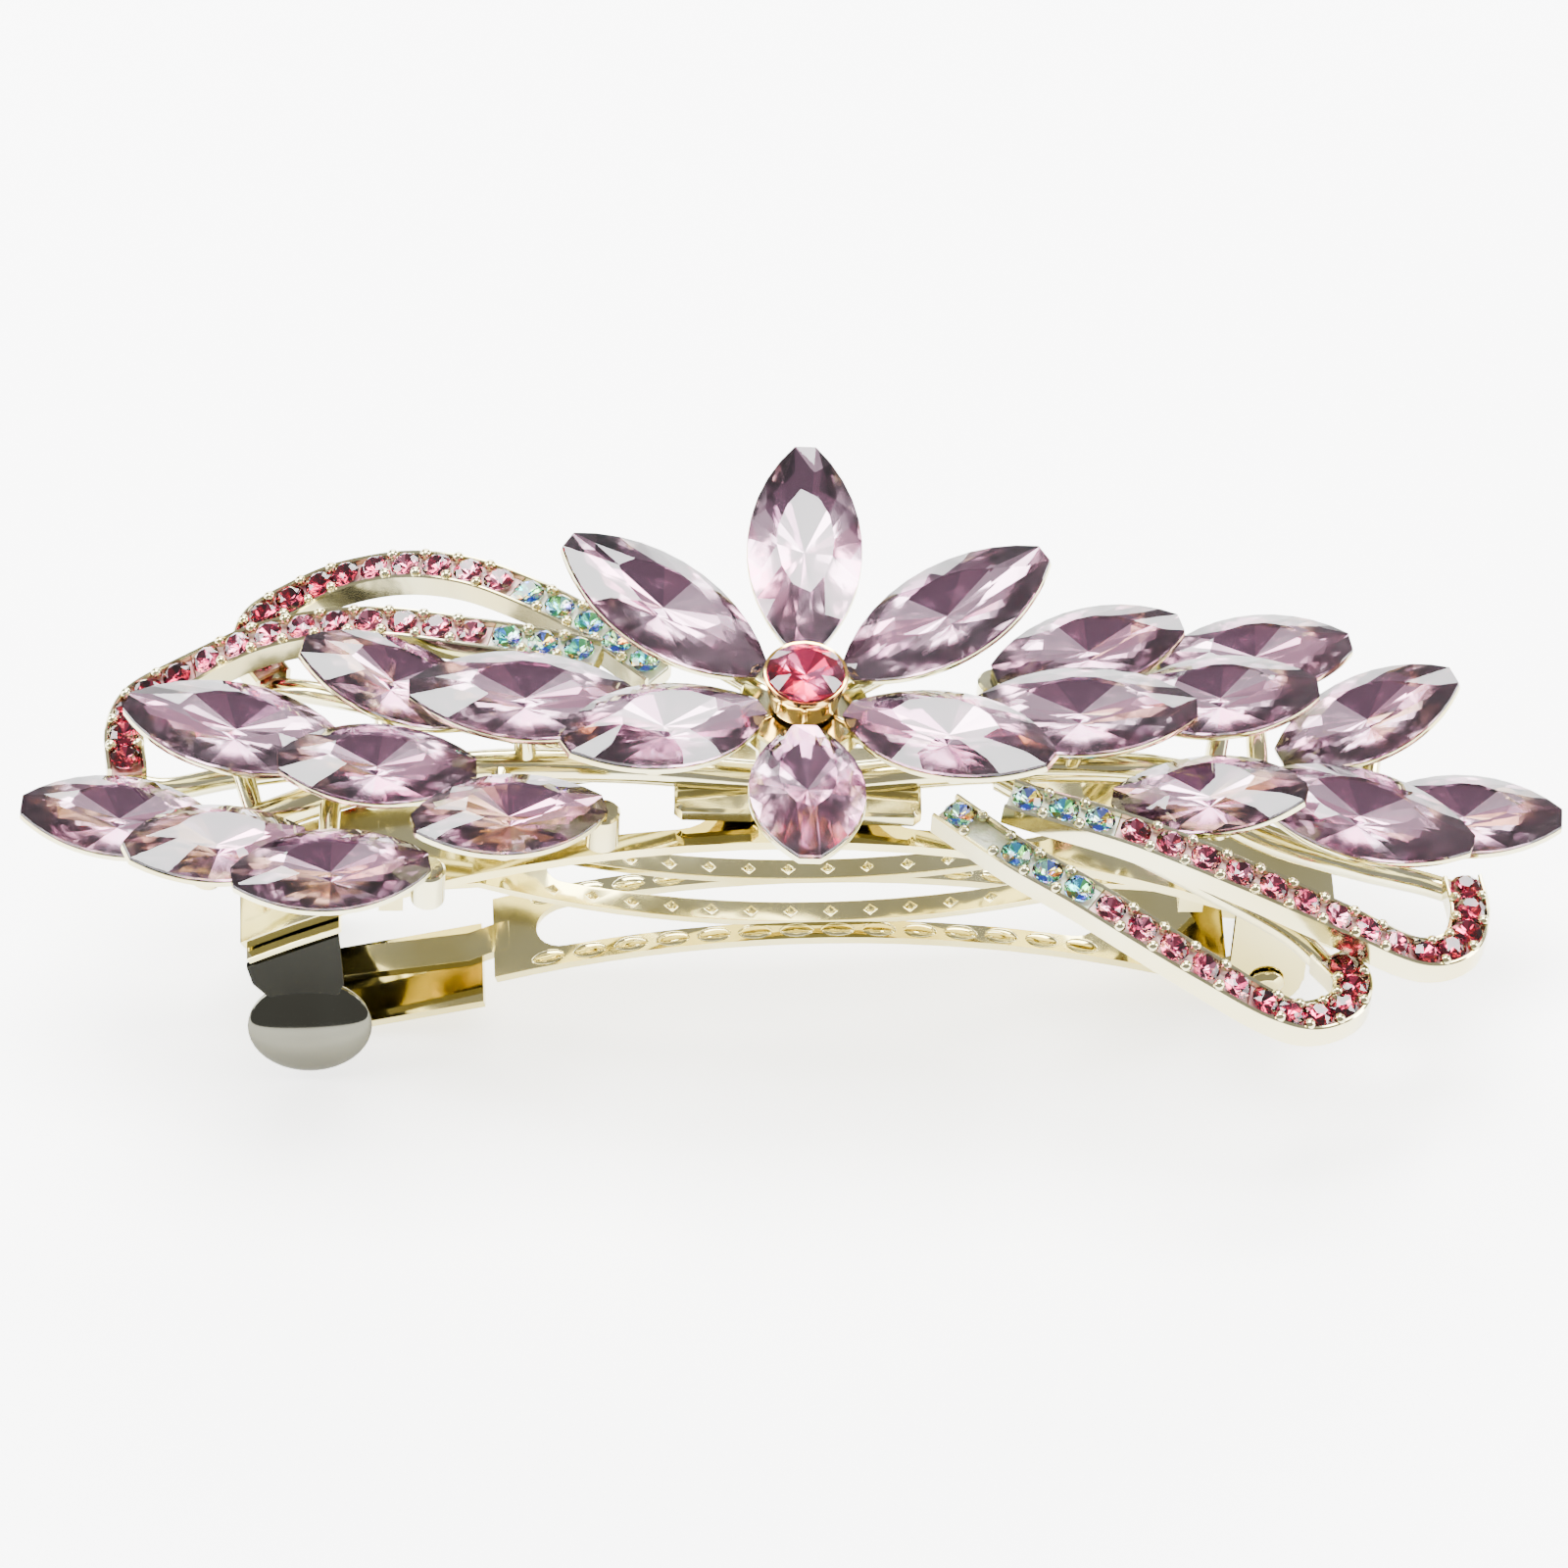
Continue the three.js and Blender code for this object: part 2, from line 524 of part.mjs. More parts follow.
function claspArm() {
  const half = ARM_WIDTH / 2;
  const strip = sideSolid(sheetBand(sampled(armTop, ARM_FROM_X, ARM_TO_X, 20), ARM_SHEET), -half, half);
  const lugOuter = BASE_WIDTH / 2 - EAR_SHEET - FIT_GAP;
  const lugs = [-1, 1].map((side) => {
    const edges = [side * lugOuter, side * (lugOuter - LUG_SHEET)];
    const [low, high] = [Math.min(...edges), Math.max(...edges)];
    const plate = [
      [LUG_FROM_X, armTop(LUG_FROM_X) - ARM_SHEET / 2],
      [ARM_TO_X, armTop(ARM_TO_X) - ARM_SHEET / 2],
      [PIN_X, PIN_Z - LUG_RADIUS],
      [PIN_X, PIN_Z + LUG_RADIUS],
    ];
    return sideSolid(plate, low, high).add(crossBar(PIN_X, PIN_Z, LUG_RADIUS, low, high, 20));
  });
  const teeth = pressedTeeth((x) => armTop(x) - ARM_SHEET, ARM_SHEET, ARM_WINDOW_FROM, ARM_WINDOW_TO, half);
  const window = planSolid(slotShape(ARM_WINDOW_FROM, ARM_WINDOW_TO, half - ARM_RAIL), 0, BASE_TOP_Z);
  const pinHole = crossBar(PIN_X, PIN_Z, PIN_RADIUS + PIN_CLEARANCE, -half - 1, half + 1);
  return toGeometry(cutAll(addAll([strip, neckAndHead(), ...lugs, ...teeth]), [window, pinHole]));
}

function hingePin() {
  const reach = BASE_WIDTH / 2 + PIN_CLEARANCE;
  const tip = reach + PIN_HEAD_HEIGHT;
  const geometry = new THREE.LatheGeometry([
    [0, -tip], [PIN_HEAD_RADIUS * 0.6, -tip], [PIN_HEAD_RADIUS, -reach - PIN_HEAD_EDGE],
    [PIN_HEAD_RADIUS, -reach], [PIN_RADIUS, -reach], [PIN_RADIUS, reach], [PIN_HEAD_RADIUS, reach],
    [PIN_HEAD_RADIUS, reach + PIN_HEAD_EDGE], [PIN_HEAD_RADIUS * 0.6, tip], [0, tip],
  ].map(([r, y]) => new THREE.Vector2(r, y)), 16);
  geometry.translate(PIN_X, 0, PIN_Z);
  return toGeometry(toSolid(geometry));
}

// ---------------------------------------------------------------- catch

const catchLegInner = BASE_WIDTH / 2 + CATCH_SIDE_GAP;
const catchLegOuter = catchLegInner + CATCH_SHEET;
const catchFrom = Math.max(CATCH_X - CATCH_LENGTH / 2, -BASE_HALF_LENGTH);
const catchTo = CATCH_X + CATCH_LENGTH / 2;
const saddleTop = (x) => baseUnder(x) - FIT_GAP;

// Turns a shape made upright at the origin square to the base plate, with the origin on its top face.
const squareToBase = (x) => new THREE.Matrix4()
  .makeTranslation(x, 0, baseTop(x))
  .multiply(new THREE.Matrix4().makeRotationY(Math.asin(x / BASE_RADIUS)));

function rivetHole() {
  const radius = RIVET_RADIUS + PIN_CLEARANCE;
  const geometry = new THREE.CylinderGeometry(radius, radius, 6, 12);
  geometry.rotateX(Math.PI / 2);
  return toSolid(geometry.applyMatrix4(squareToBase(CATCH_X)));
}

// The saddle lies under the base plate and reaches out over both legs.
function catchSaddle() {
  const band = sheetBand(sampled(saddleTop, catchFrom, catchTo, 4), CATCH_SHEET);
  const plate = sideSolid(band, -catchLegOuter, catchLegOuter);
  return toGeometry(plate.subtract(rivetHole()));
}

// One leg with its thumb pad; side is -1 for the front and +1 for the back.
function catchLeg(side) {
  const lean = Math.tan(deg(CATCH_LEAN_DEG));
  const halfNeck = CATCH_NECK_LENGTH / 2;
  const middle = (z) => PAD_X - (z - PAD_Z) * lean;
  const legTop = (x) => saddleTop(x) - CATCH_SHEET - FIT_GAP;
  const neck = CATCH_NECK_Z;
  const shoulder = CATCH_NECK_Z + CATCH_SHOULDER;
  const outline = [
    [middle(PAD_Z) - halfNeck, PAD_Z],
    [middle(PAD_Z) + halfNeck, PAD_Z],
    [middle(neck) + halfNeck, neck],
    [middle(shoulder) + CATCH_LENGTH / 2, shoulder],
    [catchTo, legTop(catchTo)],
    [catchFrom, legTop(catchFrom)],
    [middle(shoulder) - CATCH_LENGTH / 2, shoulder],
    [middle(neck) - halfNeck, neck],
  ];
  const leg = sideSolid(outline, Math.min(side * catchLegOuter, side * catchLegInner),
    Math.max(side * catchLegOuter, side * catchLegInner));
  const pad = new THREE.SphereGeometry(1, 14, 7);
  pad.rotateX(Math.PI / 2);
  pad.scale(PAD_HALF_LENGTH, PAD_HALF_THICKNESS, PAD_HALF_HEIGHT);
  pad.rotateX(side * deg(PAD_FLARE_DEG));
  pad.translate(PAD_X, side * (catchLegOuter + PAD_STAND_OUT), PAD_Z);
  return toGeometry(leg.add(toSolid(pad)));
}

function catchRivet() {
  const low = -BASE_SHEET - FIT_GAP - CATCH_SHEET - RIVET_HEAD_GAP;
  const high = RIVET_HEAD_GAP;
  const geometry = new THREE.LatheGeometry([
    [0, low - RIVET_HEAD_HEIGHT], [RIVET_HEAD_RADIUS * 0.6, low - RIVET_HEAD_HEIGHT],
    [RIVET_HEAD_RADIUS, low], [RIVET_RADIUS, low], [RIVET_RADIUS, high], [RIVET_HEAD_RADIUS, high],
    [RIVET_HEAD_RADIUS * 0.6, high + RIVET_HEAD_HEIGHT], [0, high + RIVET_HEAD_HEIGHT],
  ].map(([r, z]) => new THREE.Vector2(r, z)), 12);
  geometry.rotateX(Math.PI / 2);
  return toGeometry(toSolid(geometry.applyMatrix4(squareToBase(CATCH_X))));
}

// ---------------------------------------------------------------- stones and their cups

// Pointed oval: two equal arcs that meet at the tips, tips along x, anticlockwise from above.
function navetteRing(length, width, z, arcSteps = 6) {
  const radius = (length * length + width * width) / (4 * width);
  const reach = Math.asin(length / 2 / radius);
  const ring = [];
  for (const side of [1, -1]) {
    for (let i = 0; i < arcSteps; i += 1) {
      const a = reach - (2 * reach * i) / arcSteps;
      const x = side * radius * Math.sin(a);
      const y = side * (radius * Math.cos(a) - radius + width / 2);
      ring.push(new THREE.Vector3(x, y, z));
    }
  }
  return ring;
}

const navetteStone = ({ length, width, crown, depth }) => loft([
  [new THREE.Vector3(0, 0, crown)],
  navetteRing(length * STONE_TABLE, width * STONE_TABLE, crown),
  navetteRing(length, width, 0),
  [new THREE.Vector3(0, 0, -depth)],
]);

const cupBottom = ({ depth }) => -depth - FIT_GAP - CUP_SHEET;

function navetteCup(stone) {
  const { length, width, depth } = stone;
  const bottom = cupBottom(stone);
  return loft([
    [new THREE.Vector3(0, 0, -depth - FIT_GAP)],
    navetteRing(length, width, -FIT_GAP),
    navetteRing(length + 2 * CUP_LIP, width + 2 * CUP_LIP, -FIT_GAP),
    navetteRing(length * CUP_FOOT, width * CUP_FOOT, bottom),
    [new THREE.Vector3(0, 0, bottom)],
  ]);
}

// A cup with the round boss that a branch joins it by.
function bossedCup(stone) {
  const bottom = cupBottom(stone);
  const boss = uprightBar(0, 0, BOSS_RADIUS, bottom - BOSS_HEIGHT, bottom + CUP_SHEET / 2, 8);
  return toSolid(navetteCup(stone)).add(boss);
}

const bossMiddle = (stone) => new THREE.Vector3(0, 0, cupBottom(stone) - BOSS_HEIGHT / 2);
const placed = (solid, matrix) => solid.transform(matrix.elements);

// Where a stone and its cup stand: the outer tip lies along the heading and rises by the given angle.
function placement({ centre, headingDeg, riseDeg }) {
  const turn = new THREE.Matrix4().makeRotationZ(deg(headingDeg));
  const lift = new THREE.Matrix4().makeRotationY(-deg(riseDeg));
  return new THREE.Matrix4().makeTranslation(...centre).multiply(turn).multiply(lift);
}

// ---------------------------------------------------------------- flower

function petals() {
  const rise = deg(PETAL_RISE_DEG);
  const half = LARGE_STONE.length / 2;
  const radius = PETAL_INNER_RADIUS + half * Math.cos(rise);
  const z = FLOWER_TIP_Z - half * Math.sin(rise);
  return Array.from({ length: PETAL_COUNT }, (_, i) => {
    const headingDeg = 90 - (360 / PETAL_COUNT) * i;
    const a = deg(headingDeg);
    return {
      stone: LARGE_STONE,
      centre: [radius * Math.cos(a), radius * Math.sin(a), z],
      headingDeg,
      riseDeg: PETAL_RISE_DEG,
    };
  });
}

const collarTop = CENTRE_GIRDLE_Z - FIT_GAP;
const hubTop = collarTop - COLLAR_HEIGHT - FIT_GAP;

function flowerCasting() {
  const hub = uprightBar(0, 0, FLOWER_HUB_RADIUS, hubTop - FLOWER_HUB_HEIGHT, hubTop, 18);
  const peg = uprightBar(0, 0, PEG_RADIUS, FIT_GAP, hubTop - FLOWER_HUB_HEIGHT / 2);
  const cups = petals().flatMap((petal) => {
    const place = placement(petal);
    const foot = bossMiddle(petal.stone).applyMatrix4(place);
    const root = new THREE.Vector3(foot.x, foot.y, 0).setLength(FLOWER_HUB_RADIUS / 2);
    root.z = hubTop - FLOWER_HUB_HEIGHT / 2;
    return [placed(bossedCup(petal.stone), place), rodBetween(root.toArray(), foot.toArray(), BRANCH_RADIUS)];
  });
  return toGeometry(addAll([hub, peg, ...cups]));
}

function turned(profile, sides) {
  const geometry = new THREE.LatheGeometry(profile.map(([r, z]) => new THREE.Vector2(r, z)), sides);
  geometry.rotateX(Math.PI / 2);
  return geometry;
}

function centreSetting() {
  const outer = CENTRE_RADIUS + COLLAR_WALL;
  return toGeometry(toSolid(turned([
    [0, collarTop - COLLAR_HEIGHT], [outer * 0.8, collarTop - COLLAR_HEIGHT], [outer, collarTop],
    [CENTRE_RADIUS, collarTop], [0, collarTop - CENTRE_DEPTH],
  ], 16)));
}

function centreStone() {
  return toGeometry(toSolid(turned([
    [0, CENTRE_GIRDLE_Z - CENTRE_DEPTH], [CENTRE_RADIUS, CENTRE_GIRDLE_Z],
    [CENTRE_RADIUS * STONE_TABLE, CENTRE_GIRDLE_Z + CENTRE_CROWN], [0, CENTRE_GIRDLE_Z + CENTRE_CROWN],
  ], 16)));
}

// ---------------------------------------------------------------- sprays

// Part of a curve, between two distances along it.
class Stretch extends THREE.Curve {
  constructor(curve, from, to) {
    super();
    const length = curve.getLength();
    Object.assign(this, { curve, from: from / length, to: to / length });
  }

  getPoint(t, target = new THREE.Vector3()) {
    return this.curve.getPointAt(THREE.MathUtils.clamp(this.from + (this.to - this.from) * t, 0, 1), target);
  }
}

const channelCurve = (points) => new THREE.CatmullRomCurve3(points.map(vec), false, 'centripetal');

function channelSection() {
  const half = CHANNEL_WIDTH / 2;
  const inner = half - CHANNEL_WALL;
  const floor = CHANNEL_HEIGHT - CHANNEL_GROOVE;
  return [
    [-half, 0], [half, 0], [half, CHANNEL_HEIGHT], [inner, CHANNEL_HEIGHT], [inner, floor], [-inner, floor],
    [-inner, CHANNEL_HEIGHT], [-half, CHANNEL_HEIGHT],
  ];
}

// Heights below the tops of the small round stones.
const wallTopDrop = CHATON_HEIGHT * 0.75;
const channelDrop = wallTopDrop + CHANNEL_HEIGHT;
const bedDrop = wallTopDrop + CHANNEL_GROOVE - BED_SIDE_GAP;

const CHANNEL_STEPS = 26;

function sprayCasting() {
  const spine = rodAlong(SPINE_POINTS, SPINE_RADIUS, 12);
  const spineCurve = channelCurve(SPINE_POINTS);
  const foot = boxSolid(SPRAY_FOOT.from, SPRAY_FOOT.to, -SPRAY_FOOT.width / 2, SPRAY_FOOT.width / 2,
    FIT_GAP, FIT_GAP + SPRAY_FOOT.height);
  const cups = SPRAY_LEAVES.flatMap((leaf) => {
    const place = placement(leaf);
    const foot = bossMiddle(leaf.stone).applyMatrix4(place);
    const roots = spineCurve.getPoints(SPINE_ROOTS);
    const root = roots.reduce((best, p) => (p.distanceTo(foot) < best.distanceTo(foot) ? p : best));
    return [placed(bossedCup(leaf.stone), place), rodBetween(root.toArray(), foot.toArray(), BRANCH_RADIUS)];
  });
  const stubs = STUB_LEAVES.map((i) => {
    const leaf = SPRAY_LEAVES[i];
    const tip = new THREE.Vector3(-leaf.stone.length / 2, 0, -FIT_GAP).applyMatrix4(placement(leaf));
    return uprightBar(tip.x, tip.y, STUB_RADIUS, tip.z - STUB_LENGTH, tip.z - 0.4, 8);
  });
  const loops = LOOPS.flatMap(({ channel, back }) => [
    sweep(channelSection(), channelCurve(channel), CHANNEL_STEPS, -channelDrop),
    rodAlong(back, RETURN_RADIUS, 12),
  ]);
  return toGeometry(addAll([spine, foot, ...cups, ...stubs, ...loops]));
}

// One colour run of small round stones with the bed that they are set in.
function paveRun(curve, start, pitch, count, emptySeats) {
  const half = CHANNEL_WIDTH / 2 - CHANNEL_WALL - BED_SIDE_GAP;
  const section = [[-half, 0], [half, 0], [half, BED_HEIGHT], [-half, BED_HEIGHT]];
  const margin = BED_SIDE_GAP / 2;
  const stretch = new Stretch(curve, start + margin, start + count * pitch - margin);
  const bed = sweep(section, stretch, count, -bedDrop);
  const seats = Array.from({ length: count }, (_, i) => i).filter((seat) => !emptySeats.includes(seat));
  const chatons = seats.map((seat) => {
    const at = (start + (seat + 0.5) * pitch) / curve.getLength();
    const tangent = curve.getTangentAt(at);
    const side = new THREE.Vector3(0, 0, 1).cross(tangent).normalize();
    const up = tangent.clone().cross(side);
    const chaton = turned([
      [0, -bedDrop + BED_HEIGHT / 2], [CHATON_RADIUS * 0.5, -bedDrop + BED_HEIGHT / 2],
      [CHATON_RADIUS, -CHATON_HEIGHT / 2], [CHATON_TABLE_RADIUS, 0], [0, 0],
    ], 6);
    chaton.applyMatrix4(new THREE.Matrix4().makeBasis(tangent, side, up).setPosition(curve.getPointAt(at)));
    return toSolid(chaton);
  });
  return toGeometry(addAll([bed, ...chatons]));
}

// ---------------------------------------------------------------- assembly

function spray(sideName, emptySeats) {
  const group = new THREE.Group();
  group.add(finished(`${sideName}_spray_casting`, sprayCasting(), CAST_GOLD));
  SPRAY_LEAVES.forEach((leaf, i) => {
    const stone = finished(`${sideName}_leaf_stone_${i + 1}`, navetteStone(leaf.stone), PALE_PINK);
    stone.applyMatrix4(placement(leaf));
    group.add(stone);
  });
  for (const { name, runs, channel } of LOOPS) {
    const curve = channelCurve(channel);
    let start = 0;
    for (const [colour, count] of Object.entries(runs)) {
      const pitch = CHATON_PITCH[colour];
      const nodeName = `${sideName}_${name}_${colour}_pave`;
      const empty = emptySeats[nodeName] ?? [];
      group.add(finished(nodeName, paveRun(curve, start, pitch, count, empty), RUN_FINISH[colour]));
      start += count * pitch;
    }
  }
  return group;
}

function decoration() {
  const group = new THREE.Group();
  group.add(spray('left', {}));
  const right = spray('right', EMPTY_SEATS);
  right.rotation.z = Math.PI;
  group.add(right);
  group.add(finished('flower_casting', flowerCasting(), CAST_GOLD));
  petals().forEach((petal, i) => {
    const stone = finished(`petal_stone_${i + 1}`, navetteStone(petal.stone), PALE_PINK);
    stone.applyMatrix4(placement(petal));
    group.add(stone);
  });
  group.add(finished('centre_setting', centreSetting(), LIGHT_GOLD));
  group.add(finished('centre_stone', centreStone(), HOT_PINK));
  group.rotation.z = deg(DECORATION_YAW_DEG);
  group.position.z = BASE_TOP_Z;
  return group;
}

function levelClip() {
  const group = new THREE.Group();
  group.add(finished('base_plate', basePlate(), LIGHT_GOLD));
  group.add(finished('tension_bow', tensionBow(), LIGHT_GOLD));
  group.add(finished('clasp_arm', claspArm(), LIGHT_GOLD));
  group.add(finished('hinge_pin', hingePin(), LIGHT_GOLD));
  group.add(finished('catch_saddle', catchSaddle(), LIGHT_GOLD));
  group.add(finished('catch_leg_front', catchLeg(-1), DARK_GOLD));
  group.add(finished('catch_leg_back', catchLeg(1), DARK_GOLD));
  group.add(finished('catch_rivet', catchRivet(), LIGHT_GOLD));
  group.add(decoration());
  return group;
}

// Set down on a table, the clip rests on the fold of the arm's head and on the hinge ears.
function restingClip() {
  const clip = levelClip();
  const headFoot = new THREE.Vector2(HEAD_X, HEAD_Z - HEAD_FOLD_RADIUS);
  const earFoot = new THREE.Vector2(PIN_X, PIN_Z - EAR_RADIUS);
  clip.rotation.y = earFoot.clone().sub(headFoot).angle();
  const rest = new THREE.Group();
  rest.add(clip);
  const bounds = new THREE.Box3().setFromObject(rest, true);
  const centre = bounds.getCenter(new THREE.Vector3());
  clip.position.set(-centre.x, -centre.y, -bounds.min.z);
  return rest;
}

export default restingClip();
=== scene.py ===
"""Rhinestone hair clip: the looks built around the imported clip.

The mechanism keeps its CAD shapes with softened edges and mirror plating.
The flower, the two sprays and their stones are rebuilt with cut facets, smooth cups and rounded rods.
"""

from __future__ import annotations

import json
import logging
import math
import random
from dataclasses import dataclass, field
from enum import Enum
from typing import Callable, Iterable, Sequence

import bmesh
import bpy
import numpy as np
from mathutils import Matrix, Vector

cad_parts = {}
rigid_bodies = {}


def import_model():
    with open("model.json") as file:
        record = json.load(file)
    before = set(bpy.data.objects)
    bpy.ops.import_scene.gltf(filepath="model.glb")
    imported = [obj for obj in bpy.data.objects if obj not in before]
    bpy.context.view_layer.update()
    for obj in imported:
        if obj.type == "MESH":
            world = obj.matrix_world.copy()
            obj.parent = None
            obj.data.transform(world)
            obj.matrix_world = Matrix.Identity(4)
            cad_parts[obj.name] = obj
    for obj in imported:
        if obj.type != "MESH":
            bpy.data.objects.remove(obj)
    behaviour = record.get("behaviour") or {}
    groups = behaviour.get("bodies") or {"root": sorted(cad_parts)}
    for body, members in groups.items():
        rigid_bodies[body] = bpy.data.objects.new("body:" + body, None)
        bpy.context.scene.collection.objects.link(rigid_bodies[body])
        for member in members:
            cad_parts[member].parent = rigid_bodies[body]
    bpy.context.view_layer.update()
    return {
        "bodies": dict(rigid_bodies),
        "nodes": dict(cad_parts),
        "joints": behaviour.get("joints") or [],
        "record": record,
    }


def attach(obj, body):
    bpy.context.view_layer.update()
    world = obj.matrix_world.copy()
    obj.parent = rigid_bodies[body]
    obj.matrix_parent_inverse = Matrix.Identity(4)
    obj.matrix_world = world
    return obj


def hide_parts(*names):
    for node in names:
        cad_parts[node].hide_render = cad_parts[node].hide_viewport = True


LOG = logging.getLogger("hair_clip")
MM = 0.001  # the builders below work in millimetres
TO_METRES = Matrix.Diagonal((MM, MM, MM, 1.0))
FIT_GAP = 0.3  # clearance that the CAD model leaves between neighbours
Z_UP = Vector((0.0, 0.0, 1.0))


# ------------------------------------------------------------------ node trees


def srgb(code: str) -> tuple[float, float, float, float]:
    """Turns an sRGB hex colour into linear RGBA.

    Args:
        code: six hex digits, with or without a leading hash.

    Returns:
        The linear colour with an alpha of one.
    """
    code = code.lstrip("#")
    parts = [int(code[i : i + 2], 16) / 255 for i in (0, 2, 4)]
    linear = [c / 12.92 if c <= 0.04045 else ((c + 0.055) / 1.055) ** 2.4 for c in parts]
    return (linear[0], linear[1], linear[2], 1.0)


def add_node(
    tree: bpy.types.NodeTree,
    kind: str,
    settings: dict | None = None,
    links: dict | None = None,
) -> bpy.types.Node:
    """Adds a node with its settings and links.

    Args:
        tree: the shader or geometry tree that gets the node.
        kind: the node's type name.
        settings: values by property name, or by input name or number.
        links: output sockets by the input name or number that they feed.

    Returns:
        The new node.
    """
    node = tree.nodes.new(kind)
    for key, value in (settings or {}).items():
        if isinstance(key, str) and key in node.bl_rna.properties:
            setattr(node, key, value)
        else:
            node.inputs[key].default_value = value
    for key, source in (links or {}).items():
        tree.links.new(source, node.inputs[key])
    return node


def ramp(node: bpy.types.Node, stops: Sequence[tuple[float, str]]) -> bpy.types.NodeSocket:
    """Sets a colour ramp's stops.

    Args:
        node: a colour ramp node.
        stops: position and sRGB hex colour of each stop, in order.

    Returns:
        The ramp's colour output.
    """
    elements = node.color_ramp.elements
    while len(elements) < len(stops):
        elements.new(1.0)
    for element, (position, code) in zip(elements, stops):
        element.position = position
        element.color = srgb(code)
    return node.outputs["Color"]


def new_material(name: str) -> tuple[bpy.types.Material, bpy.types.NodeTree, bpy.types.Node]:
    """Makes an empty material with a Principled shader on its output.

    Args:
        name: the material's name.

    Returns:
        The material, its node tree and its Principled node.
    """
    material = bpy.data.materials.new(name)
    material.use_nodes = True
    tree = material.node_tree
    tree.nodes.clear()
    shader = add_node(tree, "ShaderNodeBsdfPrincipled")
    add_node(tree, "ShaderNodeOutputMaterial", links={"Surface": shader.outputs["BSDF"]})
    return material, tree, shader


def object_noise(tree: bpy.types.NodeTree, size_mm: float, detail: float = 2.0) -> bpy.types.NodeSocket:
    """Adds noise on object coordinates.

    Args:
        tree: the material's node tree.
        size_mm: the width of one blot of the noise.
        detail: the noise's octaves.

    Returns:
        The noise's value output.
    """
    place = add_node(tree, "ShaderNodeTexCoord").outputs["Object"]
    scale = 1 / (size_mm * MM)
    noise = add_node(tree, "ShaderNodeTexNoise", {"Scale": scale, "Detail": detail}, {"Vector": place})
    return noise.outputs["Fac"]


# ------------------------------------------------------------------ finishes


@dataclass(frozen=True)
class PlatedMetal:
    """Polished metal with a thin bright plating, slightly uneven in colour and flatness."""

    name: str
    colour: str
    warm: str
    roughness: float
    haze: float
    ripple_mm: float
    ripple_depth_mm: float

    def material(self) -> bpy.types.Material:
        """Makes the plating: two close metal colours, hazy patches and a faint ripple.

        Returns:
            The material.
        """
        material, tree, shader = new_material(self.name)
        shader.inputs["Metallic"].default_value = 1.0
        tone = add_node(tree, "ShaderNodeValToRGB", links={"Fac": object_noise(tree, 9.0)})
        tree.links.new(ramp(tone, [(0.35, self.colour), (0.7, self.warm)]), shader.inputs["Base Color"])
        haze = add_node(
            tree,
            "ShaderNodeMapRange",
            {"To Min": self.roughness, "To Max": self.roughness + self.haze},
            {"Value": object_noise(tree, 2.5, 4.0)},
        )
        tree.links.new(haze.outputs["Result"], shader.inputs["Roughness"])
        bump = add_node(
            tree,
            "ShaderNodeBump",
            {"Strength": 0.6, "Distance": self.ripple_depth_mm * MM},
            {"Height": object_noise(tree, self.ripple_mm, 1.0)},
        )
        tree.links.new(bump.outputs["Normal"], shader.inputs["Normal"])
        return material


@dataclass(frozen=True)
class CutGlass:
    """Clear tinted crystal glass, cut and fire polished."""

    name: str
    colour: str
    deep: str
    ior: float = 1.54  # lead-free crystal
    coats: tuple[str, ...] = ()

    def material(self) -> bpy.types.Material:
        """Makes the glass: a tint that varies a little, or a coat whose colour changes with the facet.

        Returns:
            The material.
        """
        material, tree, shader = new_material(self.name)
        shader.inputs["Transmission Weight"].default_value = 1.0
        shader.inputs["IOR"].default_value = self.ior
        shader.inputs["Roughness"].default_value = 0.0
        if self.coats:
            facet = add_node(tree, "ShaderNodeAttribute", {"attribute_name": "facet_tone"}).outputs["Fac"]
            stops = [(i / (len(self.coats) - 1), code) for i, code in enumerate(self.coats)]
        else:
            facet, stops = object_noise(tree, 6.0, 1.0), [(0.3, self.colour), (0.75, self.deep)]
        tint = add_node(tree, "ShaderNodeValToRGB", links={"Fac": facet})
        tree.links.new(ramp(tint, stops), shader.inputs["Base Color"])
        return material


@dataclass(frozen=True)
class MirrorFoil:
    """The mirror coating on the back of a foiled stone, seen through the glass, with painted reflections that
    change from facet to facet.
    """

    name: str
    colours: tuple[str, ...]
    roughness: float = 0.14
    attribute: str = "facet_tone"

    def material(self) -> bpy.types.Material:
        """Makes the foil: each facet takes one painted tone, a painted reflection from dark to white, and on
        the aurora foil also a coating colour.

        Returns:
            The material.
        """
        material, tree, shader = new_material(self.name)
        shader.inputs["Metallic"].default_value = 1.0
        facet = add_node(tree, "ShaderNodeAttribute", {"attribute_name": self.attribute})
        tone = add_node(tree, "ShaderNodeValToRGB", links={"Fac": facet.outputs["Fac"]})
        last = max(len(self.colours) - 1, 1)
        stops = [(i / last, code) for i, code in enumerate(self.colours)]
        tree.links.new(ramp(tone, stops), shader.inputs["Base Color"])
        rough = add_node(
            tree,
            "ShaderNodeMapRange",
            {"To Min": self.roughness, "To Max": self.roughness + 0.03},
            {"Value": object_noise(tree, 0.8)},
        )
        tree.links.new(rough.outputs["Result"], shader.inputs["Roughness"])
        return material


